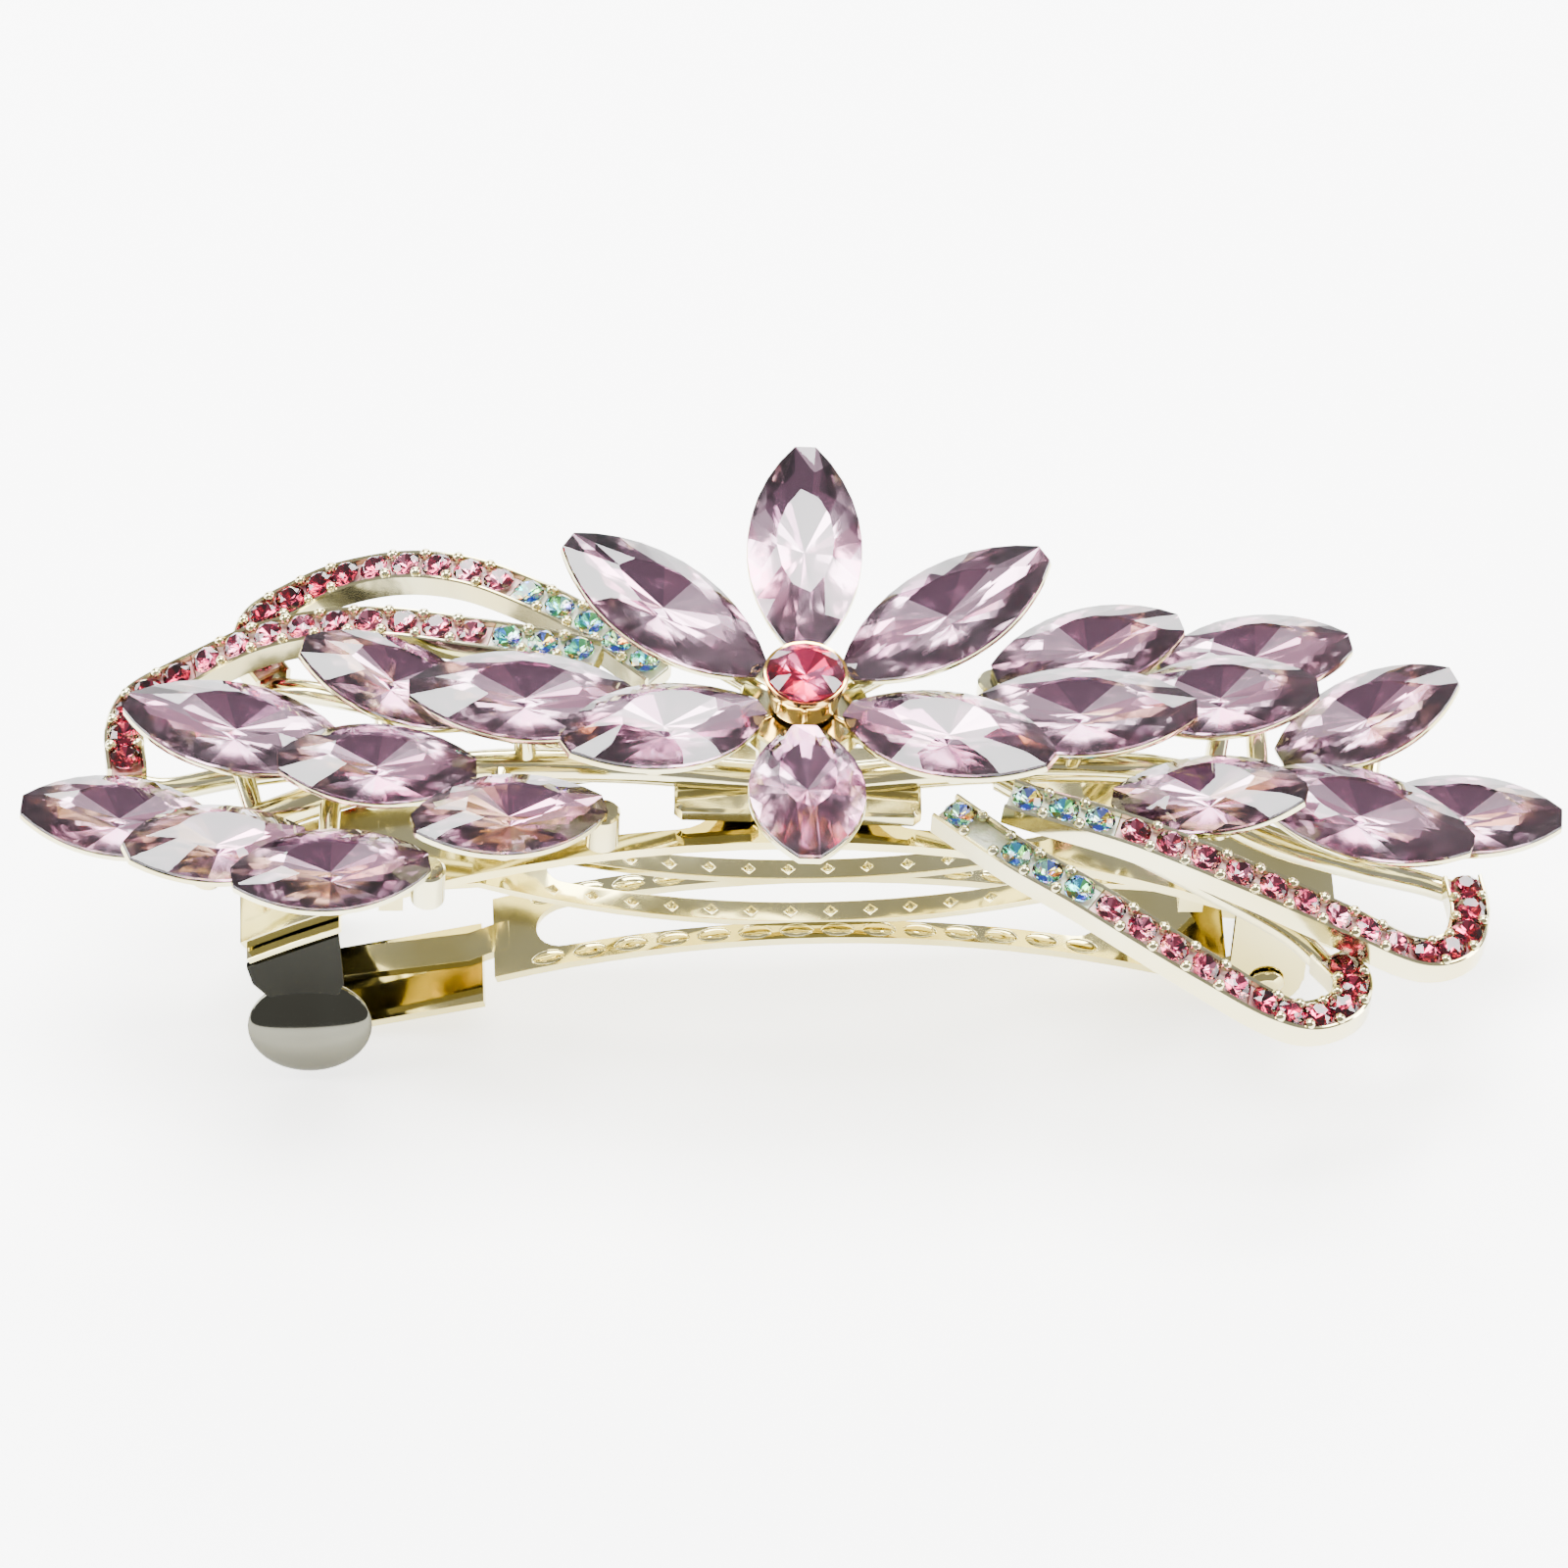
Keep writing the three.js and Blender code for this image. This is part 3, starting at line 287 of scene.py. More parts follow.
@dataclass(frozen=True)
class GlueBed:
    """Tinted two-part glue that fills a channel round its stones, glossy and slightly lumpy."""

    name: str
    colour: str
    deep: str

    def material(self) -> bpy.types.Material:
        """Makes the glue: a cloudy tint, a wet gloss and a lumpy surface.

        Returns:
            The material.
        """
        material, tree, shader = new_material(self.name)
        shader.inputs["Subsurface Weight"].default_value = 0.2
        shader.inputs["Subsurface Scale"].default_value = 0.5 * MM
        cloud = add_node(tree, "ShaderNodeValToRGB", links={"Fac": object_noise(tree, 0.7)})
        tree.links.new(ramp(cloud, [(0.3, self.colour), (0.7, self.deep)]), shader.inputs["Base Color"])
        gloss = add_node(
            tree, "ShaderNodeMapRange", {"To Min": 0.15, "To Max": 0.35}, {"Value": object_noise(tree, 0.5)}
        )
        tree.links.new(gloss.outputs["Result"], shader.inputs["Roughness"])
        bump = add_node(
            tree,
            "ShaderNodeBump",
            {"Strength": 0.5, "Distance": 0.1 * MM},
            {"Height": object_noise(tree, 0.4)},
        )
        tree.links.new(bump.outputs["Normal"], shader.inputs["Normal"])
        return material


@dataclass(frozen=True)
class PaperSweep:
    """Matt white background paper that gives off some light, so that it reads as near white."""

    name: str
    colour: str
    glow: float

    def material(self) -> bpy.types.Material:
        """Makes the paper: nearly even white with a fine tooth.

        Returns:
            The material.
        """
        material, tree, shader = new_material(self.name)
        shader.inputs["Roughness"].default_value = 0.9
        shader.inputs["Specular IOR Level"].default_value = 0.2
        tone = add_node(tree, "ShaderNodeValToRGB", links={"Fac": object_noise(tree, 40.0)})
        white = ramp(tone, [(0.0, self.colour), (1.0, "ffffff")])
        tree.links.new(white, shader.inputs["Base Color"])
        tree.links.new(white, shader.inputs["Emission Color"])
        shader.inputs["Emission Strength"].default_value = self.glow
        return material


# Champagne plated steel: pressed strip, polished and plated, so its reflections are crisp and bend a little.
CHAMPAGNE_PLATE = PlatedMetal("champagne_plated_steel", "d9d09c", "c9bb78", 0.05, 0.05, 6.0, 0.006)
# Spring steel coloured near black: bent strip, polished to a dark mirror, so the leg reads nearly black.
CATCH_PLATE = PlatedMetal("near_black_spring_steel", "1b1b17", "161511", 0.03, 0.03, 8.0, 0.004)
# Thumb pads coloured mid grey: domed and polished, lighter than the leg, so they read as grey under the
# darker leg.
PAD_PLATE = PlatedMetal("polished_mid_grey_thumb_pad", "5c5c52", "504e44", 0.03, 0.03, 8.0, 0.004)
# Pale gold plated zinc alloy: cast, then plated over the casting's skin, so its reflections are softer.
CAST_PLATE = PlatedMetal("pale_gold_plated_casting", "cfcba6", "c3b784", 0.08, 0.08, 1.2, 0.012)
# Warm gold plated collar: turned and plated, so it glows beside the paler casting.
COLLAR_PLATE = PlatedMetal("warm_gold_plated_collar", "f0cf86", "e8b860", 0.08, 0.06, 2.0, 0.01)
# White background paper: matt and slightly glowing, so it stays near white under the soft lights.
PAPER = PaperSweep("white_background_paper", "fafafa", 2.2)


class Tint(Enum):
    """The clip's stone colours, each with its glass, its foil tones and its glue."""

    PALE_PINK = "pale_pink"
    HOT_PINK = "hot_pink"
    ROSE = "rose"
    DEEP_ROSE = "deep_rose"
    AURORA = "aurora"


@dataclass(frozen=True)
class StoneFinish:
    """What one colour of stone is made of."""

    glass: CutGlass
    foil: MirrorFoil
    glue: GlueBed
    slot: str


STONE_FINISHES = {
    # Pale pink crystal: cut glass over a mirror foil with painted reflections, so painted white and pink
    # flashes, with the glass's own reflections, sit beside painted dark facets.
    Tint.PALE_PINK: StoneFinish(
        CutGlass("pale_pink_crystal", "fdd8ec", "fbcee6"),
        MirrorFoil("pale_pink_foil", ("86707f", "f8c6da", "ffe2ec", "ffffff"), 0.1),
        GlueBed("pale_pink_glue", "e8b7c8", "d998ae"),
        "pink_stone",
    ),
    # Hot pink crystal: strongly coloured cut glass over a foil with painted reflections, so it is saturated,
    # with real and painted bright flashes.
    Tint.HOT_PINK: StoneFinish(
        CutGlass("hot_pink_crystal", "f98ab4", "f2679c"),
        MirrorFoil("hot_pink_foil", ("b81e5c", "f0609a", "ffffff")),
        GlueBed("hot_pink_glue", "c23a68", "a32750"),
        "hot_pink_stone",
    ),
    # Rose crystal: small cut stones over a foil with painted reflections from wine to white, set in rose
    # glue, so the run sparkles from pale to wine.
    Tint.ROSE: StoneFinish(
        CutGlass("rose_crystal", "f2aec4", "ea94ae"),
        MirrorFoil("rose_foil", ("64263f", "c2647f", "fff0f4"), 0.05),
        GlueBed("rose_glue", "d9bcb0", "b98a88"),
        "rose_pave",
    ),
    # Deep rose crystal: the same stones in darker glass and glue, over a foil with painted reflections, so
    # the loop's bend reads as dark red.
    Tint.DEEP_ROSE: StoneFinish(
        CutGlass("deep_rose_crystal", "dc7096", "c8527a"),
        MirrorFoil("deep_rose_foil", ("4c1228", "a83a5a", "f0a8bc"), 0.05),
        GlueBed("deep_rose_glue", "c49a92", "9a5a62"),
        "deep_rose_pave",
    ),
    # Aurora crystal: clear glass with a vapour coating, so facets flash turquoise, green, orange and violet.
    # A real coating's colours move with the view; here each facet keeps one.
    Tint.AURORA: StoneFinish(
        CutGlass(
            "aurora_crystal",
            "f4fbfa",
            "e8f6f4",
            coats=("b8f8ea", "bef4c8", "ffdaa8", "ffbac6", "cfbeff", "b8deff", "c0f8ee"),
        ),
        MirrorFoil(
            "aurora_foil",
            ("58d8cc", "9ae8a0", "ffb45e", "f47a90", "a78cf4", "66c0f6", "f4fffb"),
            0.05,
        ),
        GlueBed("aurora_glue", "d8dccb", "c3c8b0"),
        "aurora_pave",
    ),
}


class Workshop:
    """Makes each material once and hands it out."""

    def __init__(self) -> None:
        """Starts with no material made."""
        self._made: dict[str, bpy.types.Material] = {}

    def get(self, finish: PlatedMetal | CutGlass | MirrorFoil | GlueBed | PaperSweep) -> bpy.types.Material:
        """Returns the material of a finish, made at its first use.

        Args:
            finish: any finish of this file.

        Returns:
            The Blender material.
        """
        if finish.name not in self._made:
            self._made[finish.name] = finish.material()
        return self._made[finish.name]


# ------------------------------------------------------------------ meshes


class Surface:
    """Points in millimetres and faces, gathered before they become one mesh."""

    def __init__(self) -> None:
        """Starts empty."""
        self.points: list[Vector] = []
        self.faces: list[tuple[int, ...]] = []
        self.slots: list[int] = []

    def add(
        self,
        points: Iterable[Vector],
        faces: Iterable[tuple[int, ...]],
        slot: int = 0,
        place: Matrix | None = None,
    ) -> None:
        """Adds one patch of points and faces.

        Args:
            points: the patch's points.
            faces: point numbers of each face, counted within the patch.
            slot: the material slot of its faces.
            place: where the patch stands, if it was not drawn in place.
        """
        start = len(self.points)
        self.points.extend(place @ p if place else p for p in points)
        for face in faces:
            self.faces.append(tuple(start + i for i in face))
            self.slots.append(slot)

    def loft(self, rings: Sequence[Sequence[Vector]], place: Matrix | None = None, slot: int = 0) -> None:
        """Adds a closed skin through rings of equal length; a ring of one point closes an end.

        Args:
            rings: the rings in order.
            place: where the skin stands.
            slot: the material slot of its faces.
        """
        points = [p for ring in rings for p in ring]
        starts = np.cumsum([0] + [len(ring) for ring in rings])
        faces: list[tuple[int, ...]] = []
        for r in range(len(rings) - 1):
            first, second = len(rings[r]), len(rings[r + 1])
            count = max(first, second)
            for i in range(count):
                j = (i + 1) % count
                a, b = starts[r] + i % first, starts[r] + j % first
                c, d = starts[r + 1] + j % second, starts[r + 1] + i % second
                faces.append(tuple(int(n) for n in dict.fromkeys((a, b, c, d))))
        for end in (0, len(rings) - 1):
            if len(rings[end]) > 2:
                faces.append(tuple(int(starts[end]) + i for i in range(len(rings[end]))))
        self.add(points, faces, slot, place)

    def mesh(self, name: str, place: Matrix) -> bpy.types.Mesh:
        """Turns the gathered faces into a mesh in metres, with its closed shells facing outward.

        Args:
            name: the mesh's name.
            place: the matrix from the builder's millimetre frame to the row frame, without the scale.

        Returns:
            The mesh.
        """
        mesh = bpy.data.meshes.new(name)
        mesh.from_pydata([p[:] for p in self.points], [], self.faces)
        mesh.polygons.foreach_set("material_index", self.slots)
        tidy = bmesh.new()
        tidy.from_mesh(mesh)
        bmesh.ops.recalc_face_normals(tidy, faces=tidy.faces)
        tidy.to_mesh(mesh)
        tidy.free()
        mesh.transform(place @ TO_METRES)
        return mesh


def shade(mesh: bpy.types.Mesh, crease_deg: float) -> None:
    """Shades a mesh smooth, with a crease at every edge sharper than an angle.

    Args:
        mesh: the mesh.
        crease_deg: the angle; zero keeps every face flat.
    """
    if crease_deg <= 0:
        mesh.shade_flat()
        return
    mesh.shade_smooth()
    mesh.set_sharp_from_angle(angle=math.radians(crease_deg))


def make_piece(
    name: str,
    mesh: bpy.types.Mesh,
    materials: Sequence[bpy.types.Material],
    crease_deg: float = 32.0,
    edge_mm: float = 0.0,
) -> bpy.types.Object:
    """Makes a mesh into a finished object at the origin.

    Args:
        name: the piece's name.
        mesh: its mesh in the row frame.
        materials: its materials by slot.
        crease_deg: the angle above which an edge stays sharp; zero keeps every face flat.
        edge_mm: the width that sharp edges are rounded over; zero leaves them.

    Returns:
        The object.
    """
    if not len(mesh.materials):
        for material in materials:
            mesh.materials.append(material)
    piece = bpy.data.objects.new(name, mesh)
    bpy.context.scene.collection.objects.link(piece)
    if edge_mm > 0:
        bevel = piece.modifiers.new("edge", "BEVEL")
        bevel.width = edge_mm * MM
        bevel.segments = 2
        bevel.limit_method = "ANGLE"
        bevel.angle_limit = math.radians(crease_deg)
        bevel.use_clamp_overlap = True
        settle(piece)
        shade(piece.data, crease_deg)
        flatten = piece.modifiers.new("flat_faces", "WEIGHTED_NORMAL")
        flatten.keep_sharp = True
        settle(piece)
        return piece
    shade(piece.data, crease_deg)
    return piece


def settle(piece: bpy.types.Object) -> None:
    """Turns a piece's modifiers into its own plain mesh.

    Args:
        piece: the object that takes its finished mesh.
    """
    evaluated = piece.evaluated_get(bpy.context.evaluated_depsgraph_get())
    mesh = bpy.data.meshes.new_from_object(evaluated)
    piece.modifiers.clear()
    piece.data = mesh


def dress(
    piece: bpy.types.Object,
    body: str,
    nodes: Sequence[str] = (),
) -> bpy.types.Object:
    """Rides a piece on its body and hides the CAD nodes that it stands for.

    Args:
        piece: the finished piece.
        body: the CAD body that it moves with.
        nodes: the CAD nodes that it stands for.

    Returns:
        The piece.
    """
    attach(piece, body)
    if nodes:
        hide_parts(*nodes)
    LOG.info("%s rides on %s", piece.name, body)
    return piece


# ------------------------------------------------------------------ curves and rods


@dataclass(frozen=True)
class Station:
    """A point of a path with the directions along, across and out of it."""

    point: Vector
    along: Vector
    side: Vector
    up: Vector

    def matrix(self) -> Matrix:
        """The frame of the station, with X along the path and Z out of it."""
        turn = Matrix((self.along, self.side, self.up)).transposed().to_4x4()
        return Matrix.Translation(self.point) @ turn


class Path:
    """A smooth curve through points, evenly measured by length, kept upright."""

    SAMPLES = 60  # straight bits between two of its points

    def __init__(self, points: Sequence[Sequence[float]]) -> None:
        """Fits a centripetal curve through the points, in millimetres.

        Args:
            points: the points that the curve passes through, in order.
        """
        given = np.array(points, float)
        ends = np.vstack([2 * given[0] - given[1], given, 2 * given[-1] - given[-2]])
        samples = [given[0]]
        for i in range(len(given) - 1):
            samples.extend(self._stretch(*ends[i : i + 4]))
        self.line = np.array(samples)
        steps = np.linalg.norm(np.diff(self.line, axis=0), axis=1)
        self.reach = np.concatenate([[0.0], np.cumsum(steps)])
        self.length = float(self.reach[-1])

    def _stretch(self, a: np.ndarray, b: np.ndarray, c: np.ndarray, d: np.ndarray) -> list[np.ndarray]:
        """Samples the curve between its points b and c.

        Args:
            a: the point before the stretch.
            b: where the stretch starts.
            c: where the stretch ends.
            d: the point after the stretch.

        Returns:
            The sampled points, in order.
        """
        first, middle, last = (max(np.linalg.norm(q - p) ** 0.5, 1e-4) for p, q in ((a, b), (b, c), (c, d)))
        leave = ((b - a) / first - (c - a) / (first + middle) + (c - b) / middle) * middle
        arrive = ((c - b) / middle - (d - b) / (middle + last) + (d - c) / last) * middle
        made = []
        for k in range(1, self.SAMPLES + 1):
            t = k / self.SAMPLES
            made.append(
                (2 * t**3 - 3 * t**2 + 1) * b
                + (t**3 - 2 * t**2 + t) * leave
                + (3 * t**2 - 2 * t**3) * c
                + (t**3 - t**2) * arrive
            )
        return made

    def at(self, distance: float) -> Station:
        """The station at a distance along the path, in millimetres.

        Args:
            distance: how far along the path, in millimetres.

        Returns:
            The station there.
        """
        nudge = self.length * 1e-3
        here, before, after = (
            Vector([np.interp(d, self.reach, self.line[:, k]) for k in range(3)])
            for d in (distance, max(distance - nudge, 0.0), min(distance + nudge, self.length))
        )
        along = (after - before).normalized()
        side = Z_UP.cross(along).normalized()
        return Station(here, along, side, along.cross(side))

    def stations(self, count: int, start: float = 0.0, end: float | None = None) -> list[Station]:
        """Evenly spaced stations between two distances."""
        last = self.length if end is None else end
        return [self.at(start + (last - start) * i / count) for i in range(count + 1)]


def round_section(radius: float, sides: int) -> list[tuple[float, float]]:
    """Points of a circle as across and up values.

    Args:
        radius: the radius of the circle.
        sides: how many points it has.

    Returns:
        The points as across and up pairs.
    """
    return [
        (radius * math.cos(2 * math.pi * i / sides), radius * math.sin(2 * math.pi * i / sides))
        for i in range(sides)
    ]


def swept(section: Sequence[tuple[float, float]], stations: Sequence[Station]) -> list[list[Vector]]:
    """Rings of a section carried along stations."""
    return [[s.point + s.side * u + s.up * v for u, v in section] for s in stations]


def rod(surface: Surface, path: Path, radius: float, steps: int = 40, sides: int = 14) -> None:
    """Adds a round rod with domed ends along a path.

    Args:
        surface: what the rod is added to.
        path: its centre line.
        radius: its radius in millimetres.
        steps: the number of straight bits.
        sides: the number of sides.
    """
    stations = path.stations(steps)
    rings = swept(round_section(radius, sides), stations)
    dome = swept(round_section(radius * 0.6, sides), [stations[0], stations[-1]])
    push = radius * 0.35
    first = [p - stations[0].along * push for p in dome[0]]
    last = [p + stations[-1].along * push for p in dome[1]]
    surface.loft([first, *rings, last])


def upright(
    surface: Surface,
    centre: Vector,
    radius: float,
    low: float,
    high: float,
    sides: int = 28,
) -> None:
    """Adds an upright round bar with softened rims.

    Args:
        surface: what the bar is added to.
        centre: a point of its axis; the height is not used.
        radius: its radius.
        low: the height of its foot.
        high: the height of its top.
        sides: the number of sides.
    """
    soft = min(0.15, radius * 0.2)
    profile = [(radius - soft, low), (radius, low + soft), (radius, high - soft), (radius - soft, high)]
    surface.loft(
        [[Vector((centre.x + u, centre.y + v, z)) for u, v in round_section(r, sides)] for r, z in profile]
    )


# ------------------------------------------------------------------ stones


Outline = Callable[[float], Vector]


@dataclass(frozen=True)
class Cut:
    """How a stone is cut: shares of its outline, its crown and its depth."""

    mains: int
    table: float
    break_out: float
    break_up: float
    pavilion_out: float
    pavilion_down: float
    girdle_mm: float
    wobble: float  # how much every other pavilion break is cut deeper


NAVETTE_CUT = Cut(12, 0.5, 0.79, 0.46, 0.74, 0.32, 0.2, 0.05)
ROUND_CUT = Cut(8, 0.55, 0.8, 0.5, 0.7, 0.36, 0.12, 0.1)
CHATON_CUT = Cut(6, 0.5, 0.78, 0.6, 0.7, 0.36, 0.06, 0.1)
TIP_SHARE = 1 / 12  # share of each side's points that make the blunt tip
# The foil tones below are painted reflections: dark tones stand for a dark room mirrored in the foil, and
# white ones for the lights.
MAIN_PAINTED_REFLECTIONS = (0.0, 0.05, 0.0, 1.0, 0.95, 0.6, 0.85)  # a navette's foil from its most leaning facet on
FACET_TONES = 7  # a round stone's foil tones repeat with this step


def circle(radius: float) -> Outline:
    """A round stone's outline.

    Args:
        radius: the stone's radius.

    Returns:
        A function that gives the point at a share of the way round.
    """

    def at(share: float) -> Vector:
        """The circle's point at a share of the way round."""
        a = 2 * math.pi * share
        return Vector((radius * math.cos(a), radius * math.sin(a), 0.0))

    return at


def cut_stone(outline: Outline, cut: Cut, crown: float, depth: float) -> tuple[Surface, list[float]]:
    """Builds a cut stone with its girdle at height zero.

    Args:
        outline: the girdle's point at a share of the way round.
        cut: the pattern of facets.
        crown: the height of the table.
        depth: the depth of the point below.

    Returns:
        The surface, with glass in slot 0 and foil in slot 1, and each face's painted tone: a painted
        reflection on the foil, and a coat colour on aurora glass.
    """
    n = cut.mains

    def ring(count: int, offset: float, share: float, z: float) -> list[Vector]:
        """Points of a scaled outline at a height."""
        made = [outline(((i + offset) / count) % 1.0) * share for i in range(count)]
        return [Vector((p.x, p.y, z)) for p in made]

    table = ring(n, 0.0, cut.table, crown)
    breaks = ring(n, 0.5, cut.break_out, crown * cut.break_up)
    girdle = ring(2 * n, 0.0, 1.0, cut.girdle_mm * 0.2)
    edge = ring(2 * n, 0.0, 1.0, -cut.girdle_mm * 0.8)
    lower = ring(n, 0.5, cut.pavilion_out, -depth * cut.pavilion_down)
    for i, p in enumerate(lower):
        p.z *= 1 + cut.wobble * (-1) ** i
    point = [Vector((0.0, 0.0, -depth))]
    points = table + breaks + girdle + edge + lower + point
    t, b, g, e, low, c = 0, n, 2 * n, 4 * n, 6 * n, 7 * n
    crown_faces: list[tuple[int, ...]] = [tuple(range(n))]
    foil_faces: list[tuple[int, ...]] = []
    for i in range(n):
        j, h = (i + 1) % n, (i - 1) % n
        left, middle, right = 2 * i, 2 * i + 1, (2 * i + 2) % (2 * n)
        crown_faces.append((t + j, t + i, b + i))
        crown_faces.append((t + i, b + h, g + left, b + i))
        crown_faces.append((b + i, g + left, g + middle))
        crown_faces.append((b + i, g + middle, g + right))
        crown_faces.append((g + left, e + left, e + middle, g + middle))
        crown_faces.append((g + middle, e + middle, e + right, g + right))
        foil_faces.append((e + left, low + i, e + middle))
        foil_faces.append((e + middle, low + i, e + right))
        foil_faces.append((c, low + i, e + left, low + h))
    surface = Surface()
    surface.add(points, crown_faces, 0)
    surface.faces.extend(foil_faces)
    surface.slots.extend([1] * len(foil_faces))
    # Each face takes a tone in a fixed repeating pattern; on the foil this is a painted reflection, light or
    # dark.
    tones = [(k * 3 % FACET_TONES) / (FACET_TONES - 1) for k in range(len(surface.faces))]
    return surface, tones


def tone_faces(mesh: bpy.types.Mesh, tones: Sequence[float]) -> None:
    """Stores each face's tone on the mesh: a painted reflection for the foil, and a coat colour for aurora
    glass.
    """
    stored = mesh.attributes.new("facet_tone", "FLOAT", "FACE")
    stored.data.foreach_set("value", np.array(tones, np.float32))


def painted_reflection_tones(mesh: bpy.types.Mesh, seed: str) -> list[float]:
    """Paints each foil facet's tone as a painted reflection: the ones that lean most to the front are painted
    dark, as in the photo, and the rest take light tones at random.

    A real foil is one colour and mirrors a dark room there, so its darks would move with the view.
    These stay where they are.

    Args:
        mesh: the stone in the row frame, with its foil in slot 1.
        seed: what makes this stone differ from its neighbours.

    Returns:
        A tone for each face, from dark at zero to white at one.
    """
    pick = random.Random(seed)
    tones = [pick.choice((0.75, 0.85, 1.0, 0.6, 0.92)) for _ in mesh.polygons]
    mains = [face for face in mesh.polygons if face.material_index and len(face.vertices) == 4]
    mains.sort(key=lambda face: -face.normal.y if face.normal.z < 0 else face.normal.y)
    for rank, face in enumerate(mains):
        tones[face.index] = MAIN_PAINTED_REFLECTIONS[rank] if rank < len(MAIN_PAINTED_REFLECTIONS) else tones[face.index]
    return tones


@dataclass(frozen=True)
class Navette:
    """A pointed oval stone and the cup that holds it, in millimetres."""

    length: float
    width: float
    crown: float
    depth: float
    lip: float = 0.25
    sheet: float = 0.5
    foot: float = 0.4
    boss_radius: float = 1.0
    boss_height: float = 1.0
    blunt: float = 1.3
    overhang: float = 0.23
    tip_growth: float = 0.3  # share of a growth that goes to the length

    def outline(self, grow: float = 0.0) -> Outline:
        """The pointed oval, grown outward by some millimetres.

        Args:
            grow: how much is added on each side, in millimetres.

        Returns:
            A function that gives the point at a share of the way round.
        """
        length, width = self.length + self.tip_growth * grow, self.width + 2 * grow
        sharp = length + self.blunt
        radius = (sharp**2 + width**2) / (4 * width)
        reach = math.asin(length / 2 / radius)
        tip = radius * math.cos(reach) - radius + width / 2

        def at(share: float) -> Vector:
            """The outline's point at a share of the way round.

            Args:
                share: the share of the way round, from zero to one.

            Returns:
                The point, at height zero.
            """
            side = 1.0 if share < 0.5 else -1.0
            along = (share % 0.5) / 0.5
            if along > 1 - TIP_SHARE:
                across = (1 - along) / TIP_SHARE * 2 - 1
                return Vector((-side * length / 2, side * across * tip, 0.0))
            angle = reach - 2 * reach * along / (1 - TIP_SHARE)
            y = radius * math.cos(angle) - radius + width / 2
            return Vector((side * radius * math.sin(angle), side * y, 0.0))

        return at

    @property
    def bottom(self) -> float:
        """The height of the cup's foot below the girdle."""
        return -self.depth - FIT_GAP - self.sheet

    def stone(self) -> tuple[Surface, list[float]]:
        """The cut stone."""
        return cut_stone(self.outline(self.overhang), NAVETTE_CUT, self.crown, self.depth)

    def cup(self, surface: Surface, place: Matrix, sides: int = 48) -> None:
        """Adds the cup: a thin bright lip round the stone and a shell that tapers to its foot.

        Args:
            surface: the casting's surface.
            place: where the stone stands.
            sides: the number of points round the cup.
        """

        def ring(grow: float, share: float, z: float) -> list[Vector]:
            """A grown or shrunk outline at a height."""
            outline = self.outline(grow)
            return [Vector((p.x * share, p.y * share, z)) for p in (outline(i / sides) for i in range(sides))]

        floor = [Vector((0.0, 0.0, -self.depth - FIT_GAP))]
        surface.loft(
            [
                floor,
                ring(0.0, 0.97, -0.45),
                ring(0.04, 1.0, -0.36),
                ring(0.1, 1.0, -0.26),
                ring(self.lip * 0.8, 1.0, -0.24),
                ring(self.lip, 1.0, -0.32),
                ring(self.lip, 1.0, -0.62),
                ring(self.lip * 0.4, 0.86, -self.depth * 0.55),
                ring(0.0, 0.62, self.bottom * 0.78),
                ring(0.0, self.foot, self.bottom),
                [Vector((0.0, 0.0, self.bottom))],
            ],
            place,
        )
        boss = [
            [Vector((u, v, z)) for u, v in round_section(self.boss_radius, 20)]
            for z in (self.bottom - self.boss_height, self.bottom + self.sheet / 2)
        ]
        surface.loft(boss, place)

    def boss_middle(self, place: Matrix) -> Vector:
        """The middle of the boss under a placed cup."""
        return place @ Vector((0.0, 0.0, self.bottom - self.boss_height / 2))


LARGE = Navette(15.0, 7.0, 1.2, 1.7)
SMALL = Navette(12.7, 6.3, 1.1, 1.6)


@dataclass(frozen=True)
class Leaf:
    """One navette's place: its centre, the way its outer tip points and how far that tip rises."""

    stone: Navette
    centre: tuple[float, float, float]
    heading_deg: float
    rise_deg: float

    def place(self) -> Matrix:
        """The matrix from the stone's own frame, in millimetres.

        Returns:
            The placing matrix.
        """
        turn = Matrix.Rotation(math.radians(self.heading_deg), 4, "Z")
        lift = Matrix.Rotation(-math.radians(self.rise_deg), 4, "Y")
        return Matrix.Translation(Vector(self.centre)) @ turn @ lift


def build_navette(name: str, leaf: Leaf, frame: Matrix, workshop: Workshop) -> bpy.types.Object:
    """Builds one pale pink navette stone and dresses it.

    Args:
        name: the CAD node that it stands for.
        leaf: its place.
        frame: the matrix of the frame that the leaf is drawn in.
        workshop: the material store.

    Returns:
        The stone.
    """
    finish = STONE_FINISHES[Tint.PALE_PINK]
    surface, _ = leaf.stone.stone()
    mesh = surface.mesh(f"{name}_cut", frame @ leaf_matrix(leaf))
    tone_faces(mesh, painted_reflection_tones(mesh, name))
    piece = make_piece(f"{name}_cut", mesh, [workshop.get(finish.glass), workshop.get(finish.foil)], 0.0)
    return dress(piece, "clip_base", [name])


def leaf_matrix(leaf: Leaf) -> Matrix:
    """A leaf's place as a matrix in metres, for a mesh that is scaled down from millimetres afterwards.

    Args:
        leaf: the leaf to place.

    Returns:
        The matrix, whose shift is in metres.
    """
    place = leaf.place()
    place.translation *= MM
    return place


# ------------------------------------------------------------------ small round stones set by Geometry Nodes


